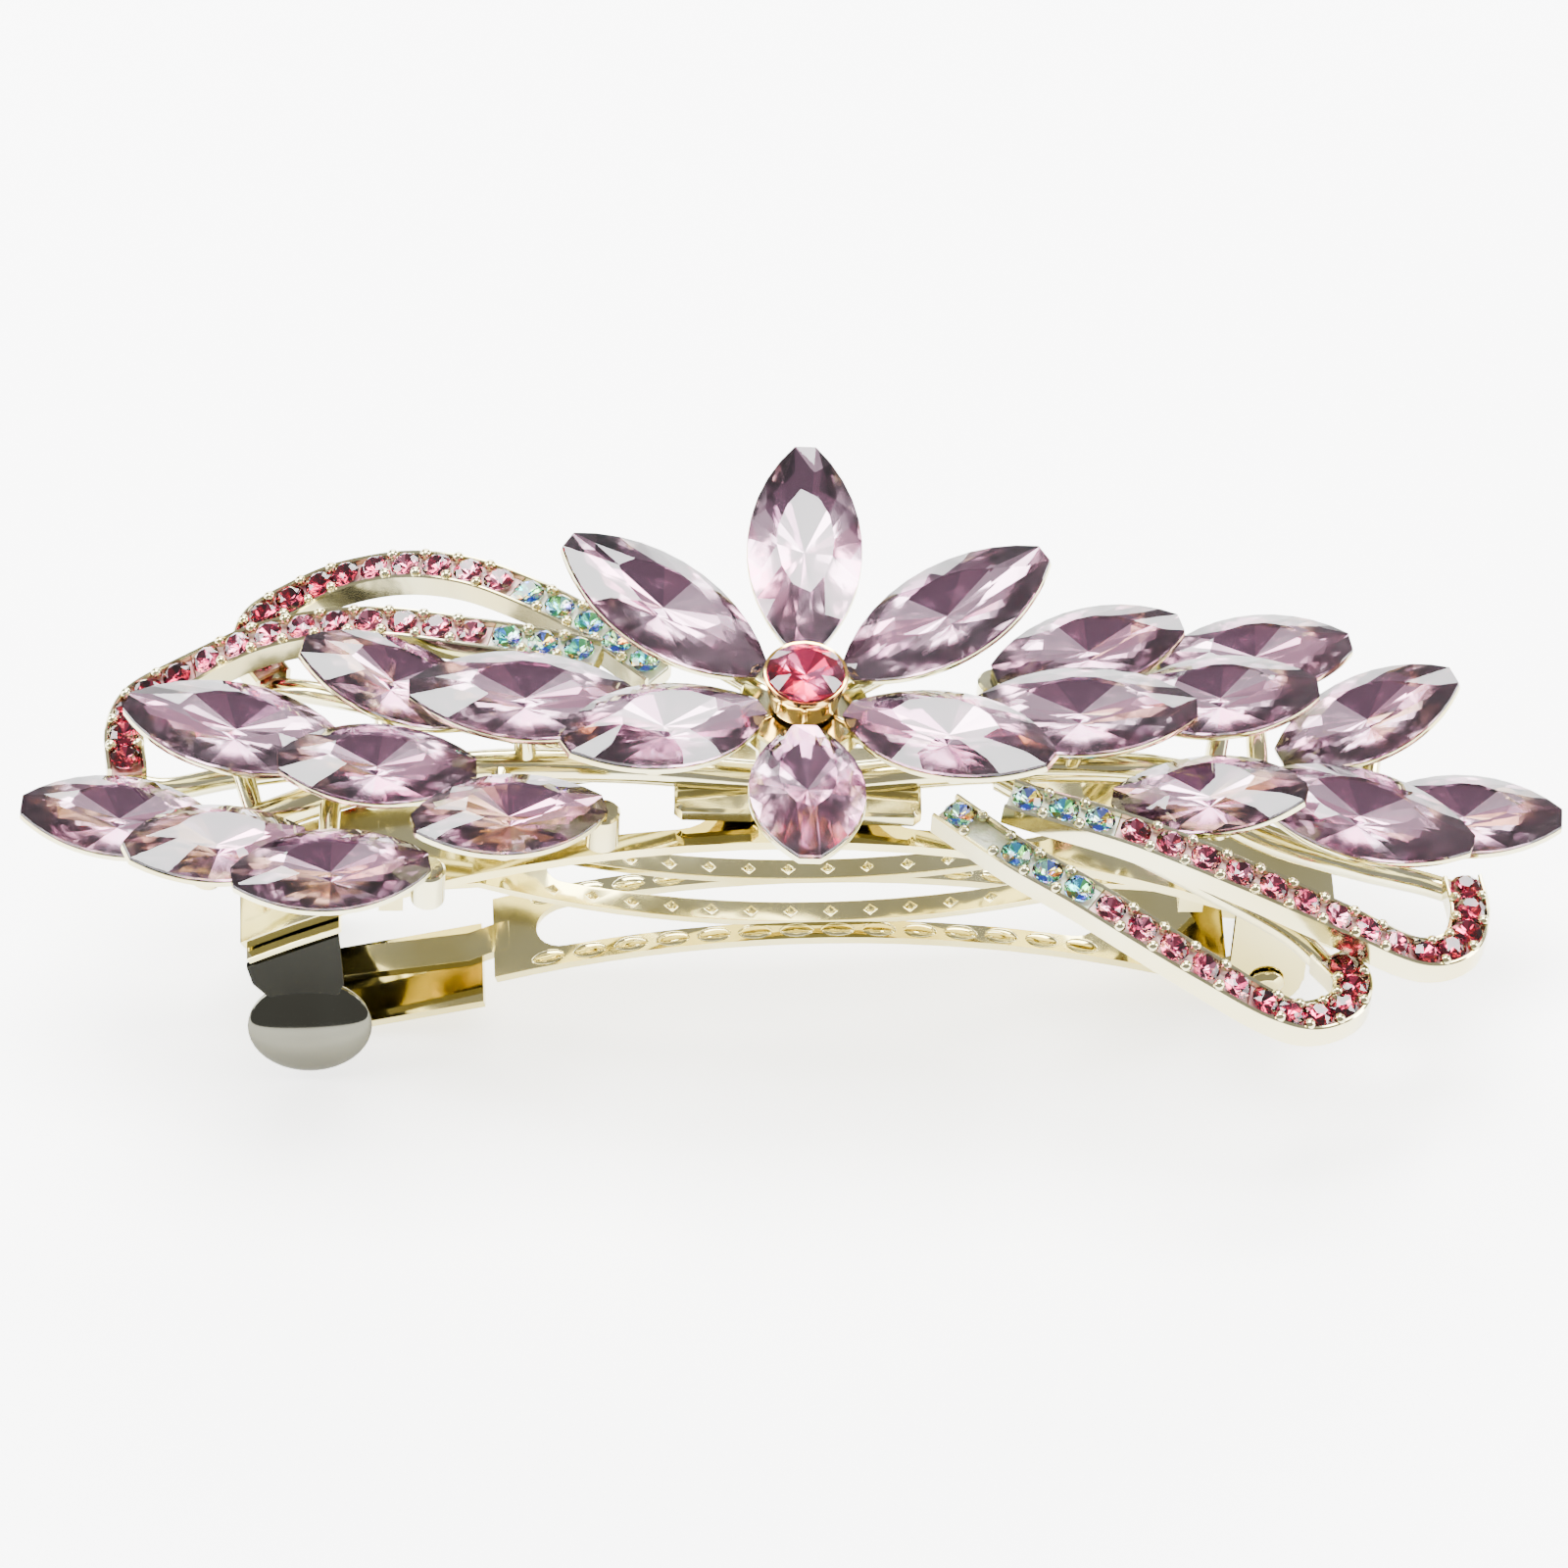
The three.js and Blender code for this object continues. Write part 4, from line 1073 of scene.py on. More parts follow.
class SeatTree:
    """The Geometry Nodes tree that sets one cut stone on every seat of a run."""

    def __init__(self) -> None:
        """Builds the tree with its named inputs."""
        self.tree = bpy.data.node_groups.new("stones_on_seats", "GeometryNodeTree")
        face = self.tree.interface
        kinds = {
            "Seats": "NodeSocketGeometry",
            "Stone": "NodeSocketObject",
            "Sink": "NodeSocketFloat",
            "Loose Turn": "NodeSocketFloat",
            "Seed": "NodeSocketInt",
            "Glass": "NodeSocketMaterial",
            "Foil": "NodeSocketMaterial",
        }
        for label, kind in kinds.items():
            face.new_socket(label, in_out="INPUT", socket_type=kind)
        face.new_socket("Stones", in_out="OUTPUT", socket_type="NodeSocketGeometry")
        self._wire()

    def _wire(self) -> None:
        """Links the tree: turn each stone to its seat, realise it and give it glass and foil."""
        tree = self.tree
        given = add_node(tree, "NodeGroupInput").outputs
        up = self._vector("seat_up")
        along = self._vector("seat_along")
        face = add_node(
            tree,
            "FunctionNodeAxesToRotation",
            {"primary_axis": "Z", "secondary_axis": "X"},
            {"Primary Axis": up, "Secondary Axis": along},
        )
        negative = add_node(
            tree, "ShaderNodeMath", {"operation": "MULTIPLY", 1: -1.0}, {0: given["Loose Turn"]}
        )
        loose = add_node(
            tree,
            "FunctionNodeRandomValue",
            {"data_type": "FLOAT"},
            {"Seed": given["Seed"]},
        )
        floats = [s for s in loose.inputs if s.type == "VALUE"]
        tree.links.new(negative.outputs[0], floats[0])
        tree.links.new(given["Loose Turn"], floats[1])
        random_turn = next(s for s in loose.outputs if s.type == "VALUE" and s.enabled)
        twist = add_node(tree, "ShaderNodeCombineXYZ", links={"Z": random_turn})
        spin = add_node(
            tree,
            "FunctionNodeRotateRotation",
            {"rotation_space": "LOCAL"},
            {"Rotation": face.outputs[0], "Rotate By": twist.outputs[0]},
        )
        sunk = add_node(tree, "ShaderNodeVectorMath", {"operation": "SCALE"}, {0: up, "Scale": given["Sink"]})
        down = add_node(
            tree, "ShaderNodeVectorMath", {"operation": "SCALE", "Scale": -1.0}, {0: sunk.outputs[0]}
        )
        lowered = add_node(
            tree,
            "GeometryNodeSetPosition",
            links={"Geometry": given["Seats"], "Offset": down.outputs[0]},
        )
        stone = add_node(tree, "GeometryNodeObjectInfo", {"As Instance": True}, {"Object": given["Stone"]})
        copies = add_node(
            tree,
            "GeometryNodeInstanceOnPoints",
            links={
                "Points": lowered.outputs[0],
                "Instance": stone.outputs["Geometry"],
                "Rotation": spin.outputs[0],
            },
        )
        real = add_node(tree, "GeometryNodeRealizeInstances", links={"Geometry": copies.outputs[0]})
        clear = add_node(
            tree,
            "GeometryNodeSetMaterial",
            links={"Geometry": real.outputs[0], "Material": given["Glass"]},
        )
        foiled = add_node(tree, "GeometryNodeInputNamedAttribute", {"data_type": "BOOLEAN", "Name": "foiled"})
        coated = add_node(
            tree,
            "GeometryNodeSetMaterial",
            links={
                "Geometry": clear.outputs[0],
                "Selection": foiled.outputs["Attribute"],
                "Material": given["Foil"],
            },
        )
        add_node(tree, "NodeGroupOutput", links={0: coated.outputs[0]})

    def _vector(self, name: str) -> bpy.types.NodeSocket:
        """Reads a vector stored on the seats."""
        settings = {"data_type": "FLOAT_VECTOR", "Name": name}
        return add_node(self.tree, "GeometryNodeInputNamedAttribute", settings).outputs["Attribute"]

    def run(self, seats: bpy.types.Object, values: dict) -> bpy.types.Mesh:
        """Sets the stones and returns them as one plain mesh.

        Args:
            seats: an object of loose points with their directions stored.
            values: the tree's inputs by name.

        Returns:
            The mesh of all the run's stones.
        """
        modifier = seats.modifiers.new("stones", "NODES")
        modifier.node_group = self.tree
        for item in self.tree.interface.items_tree:
            if item.item_type == "SOCKET" and item.name in values:
                modifier[item.identifier] = values[item.name]
        evaluated = seats.evaluated_get(bpy.context.evaluated_depsgraph_get())
        mesh = bpy.data.meshes.new_from_object(evaluated)
        bpy.data.objects.remove(seats)
        if mesh.materials[0] is None:
            index = np.zeros(len(mesh.polygons), np.int32)
            mesh.polygons.foreach_get("material_index", index)
            mesh.materials.pop(index=0)
            mesh.polygons.foreach_set("material_index", index - 1)
        return mesh


def seat_points(name: str, stations: Sequence[Station], place: Matrix) -> bpy.types.Object:
    """Makes loose points in the row frame that hold each seat's directions.

    Args:
        name: the run's name.
        stations: the seats in the builder's millimetre frame.
        place: the matrix from that frame to the row frame.

    Returns:
        An object of points, for the seat tree.
    """
    mesh = bpy.data.meshes.new(f"{name}_seats")
    mesh.from_pydata([place @ (s.point * MM) for s in stations], [], [])
    turn = place.to_3x3()
    ups, alongs = [s.up for s in stations], [s.along for s in stations]
    for label, directions in (("seat_up", ups), ("seat_along", alongs)):
        stored = mesh.attributes.new(label, "FLOAT_VECTOR", "POINT")
        stored.data.foreach_set("vector", np.array([turn @ d for d in directions], float).ravel())
    seats = bpy.data.objects.new(f"{name}_seats", mesh)
    bpy.context.scene.collection.objects.link(seats)
    return seats


def egg_rings(half: Sequence[float], rows: int, sides: int) -> list[list[Vector]]:
    """Rings from pole to pole of a ball with three different half sizes.

    Args:
        half: half its length, width and height.
        rows: its bands from pole to pole.
        sides: its sides.

    Returns:
        The rings, with one point at each pole.
    """
    rings = [[Vector((0.0, 0.0, half[2]))]]
    for r in range(1, rows):
        a = math.pi * r / rows
        width = math.sin(a)
        ring = [
            Vector((half[0] * u * width, half[1] * v * width, half[2] * math.cos(a)))
            for u, v in round_section(1.0, sides)
        ]
        rings.append(ring)
    rings.append([Vector((0.0, 0.0, -half[2]))])
    return rings


def grain(name: str, half: Sequence[float], rows: int = 6, sides: int = 12) -> bpy.types.Object:
    """Makes a small rounded grain for the seat tree to repeat.

    Args:
        name: the grain's name.
        half: half its length, width and height in millimetres.
        rows: its bands from pole to pole.
        sides: its sides.

    Returns:
        An object that isn't in the scene.
    """
    surface = Surface()
    surface.loft(egg_rings(half, rows, sides))
    return bpy.data.objects.new(name, surface.mesh(name, Matrix.Identity(4)))


def metal_seats(template: bpy.types.Object, metal: bpy.types.Material, sink_mm: float = 0.0) -> dict:
    """The seat tree's inputs for a metal grain that stands straight on every seat.

    Args:
        template: the grain.
        metal: its material.
        sink_mm: how deep each grain is sunk.

    Returns:
        The values by input name.
    """
    return {
        "Stone": template,
        "Sink": sink_mm * MM,
        "Loose Turn": 0.0,
        "Seed": 0,
        "Glass": metal,
        "Foil": metal,
    }


# ------------------------------------------------------------------ the clip's frames


@dataclass(frozen=True)
class ClipFrames:
    """Where the level clip and its decoration stand in the row frame."""

    level: Matrix
    decoration: Matrix

    PIN = (31.5, 0.0, 7.3)  # hinge pin in the level clip, in millimetres
    CROWN_Z = 21.0  # crown of the base plate, the decoration's origin
    YAW_DEG = -2.0  # turn of the decoration on the base plate

    @classmethod
    def from_joints(cls, joints: Sequence[dict]) -> ClipFrames:
        """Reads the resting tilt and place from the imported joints.

        Args:
            joints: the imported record's joints.

        Returns:
            The two frames.
        """
        found = {joint["name"]: joint for joint in joints}
        press = found["bow_press"]["axis"]
        turn = Matrix.Rotation(math.atan2(press[0], press[2]), 4, "Y")
        shift = Vector(found["clasp_hinge"]["pos_m"]) - turn @ (Vector(cls.PIN) * MM)
        level = Matrix.Translation(shift) @ turn
        crown = Matrix.Translation((0.0, 0.0, cls.CROWN_Z * MM))
        return cls(level, level @ crown @ Matrix.Rotation(math.radians(cls.YAW_DEG), 4, "Z"))


# ------------------------------------------------------------------ flower


@dataclass
class Flower:
    """Six navettes round a small foiled round stone, on one casting."""

    frames: ClipFrames
    workshop: Workshop
    petals: int = 6
    tip_z: float = 14.0
    inner_radius: float = 3.2
    rise_deg: float = 15.0
    hub_radius: float = 4.2
    hub_height: float = 1.4
    peg_radius: float = 1.7
    branch_radius: float = 0.7
    centre_radius: float = 2.5
    centre_z: float = 11.7
    centre_crown: float = 0.8
    centre_depth: float = 1.2
    collar_height: float = 2.4

    def leaves(self) -> list[Leaf]:
        """The petals in the order of their nodes.

        Returns:
            The petals.
        """
        rise = math.radians(self.rise_deg)
        half = LARGE.length / 2
        out, z = self.inner_radius + half * math.cos(rise), self.tip_z - half * math.sin(rise)
        made = []
        for i in range(self.petals):
            heading = 90 - 360 / self.petals * i
            a = math.radians(heading)
            made.append(Leaf(LARGE, (out * math.cos(a), out * math.sin(a), z), heading, self.rise_deg))
        return made

    def build(self) -> None:
        """Builds and dresses the casting, the petals, the collar and the centre stone."""
        self._casting()
        for i, leaf in enumerate(self.leaves()):
            build_navette(f"petal_stone_{i + 1}", leaf, self.frames.decoration, self.workshop)
        self._collar()
        self._centre()

    def _casting(self) -> None:
        """The six cups, their arms, the hub and the peg."""
        surface = Surface()
        collar_foot = self.centre_z - FIT_GAP - self.collar_height
        hub_top = collar_foot - FIT_GAP
        middle = Vector((0.0, 0.0, 0.0))
        upright(surface, middle, self.hub_radius, hub_top - self.hub_height, hub_top, 40)
        upright(surface, middle, self.peg_radius, FIT_GAP, hub_top - self.hub_height / 2, 28)
        for leaf in self.leaves():
            place = leaf.place()
            leaf.stone.cup(surface, place)
            foot = leaf.stone.boss_middle(place)
            root = Vector((foot.x, foot.y, 0.0)).normalized() * (self.hub_radius / 2)
            root.z = hub_top - self.hub_height / 2
            rod(surface, Path([root, foot]), self.branch_radius, 4)
        mesh = surface.mesh("flower_cups", self.frames.decoration)
        piece = make_piece("flower_cups", mesh, [self.workshop.get(CAST_PLATE)])
        dress(piece, "clip_base", ["flower_casting"])

    def _collar(self) -> None:
        """The turned collar with a rolled rim round the centre stone."""
        top = self.centre_z - FIT_GAP
        outer = self.centre_radius + 0.25
        profile = [
            (0.0, top - self.centre_depth),
            (self.centre_radius * 0.97, top - 0.05),
            (self.centre_radius + 0.03, top + 0.22),
            (outer - 0.06, top + 0.26),
            (outer, top + 0.16),
            (outer, top - 0.1),
            (outer * 0.93, top - 0.35),
            (outer * 0.9, top - 0.9),
            (outer * 0.82, top - self.collar_height + 0.2),
            (outer * 0.8, top - self.collar_height),
            (0.0, top - self.collar_height),
        ]
        surface = Surface()
        rings = [[Vector((u, v, z)) for u, v in round_section(r, 40)] for r, z in profile if r > 0]
        ends = [[Vector((0.0, 0.0, profile[0][1]))], [Vector((0.0, 0.0, profile[-1][1]))]]
        surface.loft([ends[0], *rings, ends[1]])
        mesh = surface.mesh("centre_collar", self.frames.decoration)
        piece = make_piece("centre_collar", mesh, [self.workshop.get(COLLAR_PLATE)])
        dress(piece, "clip_base", ["centre_setting"])

    def _centre(self) -> None:
        """The hot pink round stone."""
        finish = STONE_FINISHES[Tint.HOT_PINK]
        outline = circle(self.centre_radius)
        surface, tones = cut_stone(outline, ROUND_CUT, self.centre_crown, self.centre_depth)
        lift = Matrix.Translation((0.0, 0.0, self.centre_z * MM))
        mesh = surface.mesh("centre_stone_cut", self.frames.decoration @ lift)
        tone_faces(mesh, tones)
        materials = [self.workshop.get(finish.glass), self.workshop.get(finish.foil)]
        piece = make_piece("centre_stone_cut", mesh, materials, 0.0)
        dress(piece, "clip_base", ["centre_stone"])


# ------------------------------------------------------------------ sprays


@dataclass(frozen=True)
class Loop:
    """A hairpin channel of small round stones and the plain rod that closes it."""

    name: str
    runs: tuple[tuple[Tint, int, float], ...]
    channel: tuple[tuple[float, float, float], ...]
    back: tuple[tuple[float, float, float], ...]


LEAVES = (
    Leaf(SMALL, (-43.8, -1.7, -2.0), 176, 3),
    Leaf(SMALL, (-37.3, -6.9, 1.5), -158, 15),
    Leaf(SMALL, (-30.0, -10.5, 3.3), -170, 2),
    Leaf(LARGE, (-36.4, 2.4, 2.4), 163, -2),
    Leaf(SMALL, (-27.2, -4.0, 6.3), -176, 5),
    Leaf(SMALL, (-18.7, -7.9, 6.2), -164, 7),
    Leaf(SMALL, (-26.2, 4.0, 5.6), 169, 16),
    Leaf(LARGE, (-17.8, 0.0, 8.8), -179, 4),
)
LOOPS = (
    Loop(
        "outer",
        ((Tint.AURORA, 5, 2.42), (Tint.ROSE, 5, 2.42), (Tint.DEEP_ROSE, 6, 2.0)),
        (
            (-9.2, 5.5, 6.0),
            (-13.8, 9.6, 6.0),
            (-17.9, 12.4, 5.8),
            (-22.0, 14.9, 5.0),
            (-26.3, 16.7, 3.4),
            (-30.5, 17.5, 1.1),
            (-33.0, 17.0, -0.3),
            (-35.2, 15.4, -0.8),
            (-35.7, 13.2, -1.0),
            (-34.2, 10.6, -1.2),
        ),
        ((-34.4, 10.9, -3.3), (-32.0, 9.4, -1.8), (-26.0, 6.6, -0.2), (-19.0, 3.6, 1.4), (-13.0, 0.4, 2.4)),
    ),
    Loop(
        "inner",
        ((Tint.AURORA, 3, 2.42), (Tint.ROSE, 9, 2.42), (Tint.DEEP_ROSE, 5, 2.0)),
        (
            (-13.3, 5.6, 7.4),
            (-14.5, 6.0, 7.3),
            (-21.5, 7.9, 6.6),
            (-28.5, 10.0, 5.1),
            (-35.3, 11.0, 2.2),
            (-40.9, 10.4, -1.4),
            (-43.0, 9.0, -2.0),
            (-43.8, 6.4, -2.1),
            (-43.5, 3.0, -2.3),
        ),
        ((-43.5, 3.3, -4.4), (-41.2, 2.6, -4.2), (-36.5, 2.6, -2.8), (-30.0, 2.0, -0.8), (-24.0, 0.0, 1.6)),
    ),
)


@dataclass
class Spray:
    """One casting with its eight navettes and two loops of small stones."""

    side: str
    turn_deg: float
    frames: ClipFrames
    workshop: Workshop
    seats: SeatTree
    empty_seats: dict[str, tuple[int, ...]] = field(default_factory=dict)
    spine: tuple[tuple[float, float, float], ...] = (
        (-2.8, 0.0, 1.5),
        (-12.0, -0.4, 2.6),
        (-22.0, -0.8, 2.4),
        (-30.0, -1.2, 0.0),
        (-38.0, -1.8, -3.8),
        (-43.0, -1.8, -5.4),
    )
    spine_radius: float = 1.1
    branch_radius: float = 0.7
    stub_radius: float = 1.1
    stub_length: float = 3.4
    stub_leaves: tuple[int, ...] = (2, 5)
    channel_width: float = 2.6
    channel_wall: float = 0.3
    channel_height: float = 1.9
    channel_groove: float = 0.8
    return_radius: float = 0.8
    stone_radius: float = 1.02
    stone_height: float = 0.55
    stone_crown: float = 0.45
    stone_depth: float = 0.52
    bed_gap: float = 0.02
    bead_radius: float = 0.4
    bed_height: float = 0.3
    bed_dip: float = 0.06

    def __post_init__(self) -> None:
        """Works out where this spray's frame stands."""
        self.place = self.frames.decoration @ Matrix.Rotation(math.radians(self.turn_deg), 4, "Z")

    def build(self) -> None:
        """Builds and dresses the casting, the navettes and the runs of small stones."""
        self._casting()
        for i, leaf in enumerate(LEAVES):
            build_navette(f"{self.side}_leaf_stone_{i + 1}", leaf, self.place, self.workshop)
        for loop in LOOPS:
            self._runs(loop)

    @property
    def wall_drop(self) -> float:
        """The depth of the channel's rim below the stones' tables."""
        return self.stone_height * 0.75

    def _channel_section(self) -> list[tuple[float, float]]:
        """The channel's section, hung below the stones' tables, with softened rims.

        Returns:
            The points as across and up pairs.
        """
        half, wall = self.channel_width / 2, self.channel_wall
        top = -self.wall_drop
        foot, floor = top - self.channel_height, top - self.channel_groove
        soft = 0.09
        return [
            (-half + 0.25, foot),
            (half - 0.25, foot),
            (half, foot + 0.25),
            (half, top - soft),
            (half - soft, top),
            (half - wall + soft, top),
            (half - wall, top - soft),
            (half - wall, floor),
            (-half + wall, floor),
            (-half + wall, top - soft),
            (-half + wall - soft, top),
            (-half + soft, top),
            (-half, top - soft),
            (-half, foot + 0.25),
        ]

    def _casting(self) -> None:
        """The cups with their branches, the spine, the foot, the stubs and both channels."""
        cups, frame = Surface(), Surface()
        spine = Path(self.spine)
        rod(frame, spine, self.spine_radius, 48, 18)
        roots = [spine.at(spine.length * i / 48).point for i in range(49)]
        for i, leaf in enumerate(LEAVES):
            place = leaf.place()
            leaf.stone.cup(cups, place)
            boss = leaf.stone.boss_middle(place)
            root = min(roots, key=lambda p: (p - boss).length)
            rod(cups, Path([root, boss]), self.branch_radius, 4)
            if i in self.stub_leaves:
                tip = place @ Vector((-leaf.stone.length / 2, 0.0, -FIT_GAP))
                upright(frame, tip, self.stub_radius, tip.z - self.stub_length, tip.z - 0.4)
        for loop in LOOPS:
            stations = Path(loop.channel).stations(110)
            frame.loft(swept(self._channel_section(), stations))
            rod(frame, Path(loop.back), self.return_radius, 60)
        self._foot(frame)
        material = self.workshop.get(CAST_PLATE)
        for surface, label, nodes in ((cups, "leaf_cups", []), (frame, "frame", ["spray_casting"])):
            name = f"{self.side}_{label}"
            piece = make_piece(name, surface.mesh(name, self.place), [material])
            dress(piece, "clip_base", [f"{self.side}_{node}" for node in nodes])

    def _foot(self, surface: Surface) -> None:
        """The pad that is soldered to the base plate, with softened corners.

        Args:
            surface: the frame's surface, which gets the pad.
        """
        x0, x1, half, low, high, soft = -8.0, -2.5, 3.0, FIT_GAP, FIT_GAP + 1.2, 0.2
        rings = []
        for grow, z in ((-soft, low), (0.0, low + soft), (0.0, high - soft), (-soft, high)):
            a, b, h = x0 - grow, x1 + grow, half + grow
            corner = 0.5
            rings.append(
                [
                    Vector((x, y, z))
                    for x, y in (
                        (a + corner, -h),
                        (b - corner, -h),
                        (b, -h + corner),
                        (b, h - corner),
                        (b - corner, h),
                        (a + corner, h),
                        (a, h - corner),
                        (a, -h + corner),
                    )
                ]
            )
        surface.loft(rings)

    def _template(self) -> bpy.types.Object:
        """The small round stone that the runs repeat, with its table at height zero.

        Returns:
            The object that holds the stone.
        """
        crown = self.stone_crown
        surface, tones = cut_stone(circle(self.stone_radius), CHATON_CUT, crown, self.stone_depth)
        mesh = surface.mesh("small_stone", Matrix.Translation((0.0, 0.0, -crown * MM)))
        tone_faces(mesh, tones)
        foiled = mesh.attributes.new("foiled", "BOOLEAN", "FACE")
        foiled.data.foreach_set("value", np.array(surface.slots, bool))
        return bpy.data.objects.new("small_stone", mesh)

    def _runs(self, loop: Loop) -> None:
        """The colour runs of one loop, each on its bed of glue.

        Args:
            loop: the loop whose runs are built.
        """
        path = Path(loop.channel)
        start = 0.0
        template = self._template()
        for number, (tint, count, pitch) in enumerate(loop.runs):
            node = f"{self.side}_{loop.name}_{tint.value}_pave"
            finish = STONE_FINISHES[tint]
            empty = self.empty_seats.get(node, ())
            stations = [path.at(start + (i + 0.5) * pitch) for i in range(count) if i not in empty]
            stones = self.seats.run(
                seat_points(node, stations, self.place),
                {
                    "Stone": template,
                    "Sink": 0.0,
                    "Loose Turn": math.pi,
                    "Seed": number + len(node),
                    "Glass": self.workshop.get(finish.glass),
                    "Foil": self.workshop.get(finish.foil),
                },
            )
            piece = make_piece(f"{node}_stones", stones, list(stones.materials), 0.0)
            dress(piece, "clip_base", [node])
            self._bed(node, path, start, start + count * pitch, finish)
            self._beads(node, [path.at(start + i * pitch) for i in range(1, count)])
            start += count * pitch

    def _beads(self, node: str, stations: Sequence[Station]) -> None:
        """The rounded grains of the rim that hold the stones of one run between them.

        Args:
            node: the run's name.
            stations: the places between neighbouring stones.
        """
        template = grain("rim_grain", (self.bead_radius,) * 3)
        reach = self.channel_width / 2 - self.bead_radius - 0.02
        seats = []
        for s in stations:
            for sign in (-1, 1):
                place = s.point + s.side * (sign * reach) - s.up * (self.wall_drop + 0.02)
                seats.append(Station(place, s.along, s.side, s.up))
        metal = self.workshop.get(CAST_PLATE)
        points = seat_points(f"{node}_grain", seats, self.place)
        mesh = self.seats.run(points, metal_seats(template, metal))
        piece = make_piece(f"{node}_grains", mesh, [metal], 60.0)
        dress(piece, "clip_base")

    def _bed(self, node: str, path: Path, start: float, end: float, finish: StoneFinish) -> None:
        """The glue under one run, a little lower along its middle.

        Args:
            node: the run's name.
            path: the loop's middle line.
            start: where the run starts along the path.
            end: where the run ends along the path.
            finish: the run's stone and glue.
        """
        half = self.channel_width / 2 - self.channel_wall - self.bed_gap
        floor = -self.wall_drop - self.channel_groove + self.bed_gap
        top = floor + self.bed_height
        dip = top - self.bed_dip
        section = [
            (-half, floor),
            (half, floor),
            (half, top),
            (half * 0.5, dip),
            (-half * 0.5, dip),
            (-half, top),
        ]
        surface = Surface()
        surface.loft(swept(section, path.stations(40, start + 0.05, end - 0.05)))
        name = f"{node}_glue"
        piece = make_piece(name, surface.mesh(name, self.place), [self.workshop.get(finish.glue)])
        dress(piece, "clip_base")


# ------------------------------------------------------------------ mechanism


@dataclass
class Mechanism:
    """The pressed strips, the hinge pin and the rivet, kept from the CAD model with softened edges."""

    nodes: dict[str, bpy.types.Object]
    workshop: Workshop
    edge_mm: float = 0.07
    parts: tuple[tuple[str, str], ...] = (
        ("base_plate", "clip_base"),
        ("tension_bow", "bow"),
        ("clasp_arm", "arm"),
        ("hinge_pin", "clip_base"),
        ("catch_saddle", "clip_base"),
        ("catch_rivet", "clip_base"),
    )

    def build(self) -> None:
        """Makes a merged and softened copy of each node and dresses it."""
        for node, body in self.parts:
            mesh = self.nodes[node].data.copy()
            clean = bmesh.new()
            clean.from_mesh(mesh)
            bmesh.ops.remove_doubles(clean, verts=clean.verts, dist=2e-6)
            bmesh.ops.dissolve_limit(
                clean, angle_limit=math.radians(0.5), verts=clean.verts, edges=clean.edges
            )
            clean.to_mesh(mesh)
            clean.free()
            for stored in [a.name for a in mesh.attributes if a.name == "custom_normal"]:
                mesh.attributes.remove(mesh.attributes[stored])
            mesh.materials.clear()
            material = self.workshop.get(CHAMPAGNE_PLATE)
            piece = make_piece(f"{node}_plated", mesh, [material], 30.0, self.edge_mm)
            dress(piece, body, [node])


@dataclass
class PressedScallops:
    """The row of pressed scallops along each rail of the arm, which grip the hair."""

    frames: ClipFrames
    workshop: Workshop
    seats: SeatTree
    top_z: float = 10.7
    apex_x: float = 4.0
    radius: float = 70.0
    rail_y: float = 2.65
    start_x: float = -15.8
    pitch: float = 2.7
    count: int = 14
    half: tuple[float, float, float] = (1.15, 0.62, 0.26)
    sink: float = 0.02

    def build(self) -> None:
        """Sets the scallops on both rails and dresses them as one piece."""
        stations = []
        for i in range(self.count):
            lean = math.asin((self.start_x + i * self.pitch - self.apex_x) / self.radius)
            up = Vector((math.sin(lean), 0.0, math.cos(lean)))
            along = Vector((math.cos(lean), 0.0, -math.sin(lean)))
            for side in (-1, 1):
                point = Vector((self.apex_x, side * self.rail_y, self.top_z - self.radius)) + up * self.radius
                stations.append(Station(point, along, up.cross(along), up))
        metal = self.workshop.get(CHAMPAGNE_PLATE)
        template = grain("scallop", self.half, 8, 16)
        points = seat_points("scallop", stations, self.frames.level)
        mesh = self.seats.run(points, metal_seats(template, metal, self.sink))
        piece = make_piece("arm_pressed_scallops", mesh, [metal], 60.0)
        dress(piece, "arm")


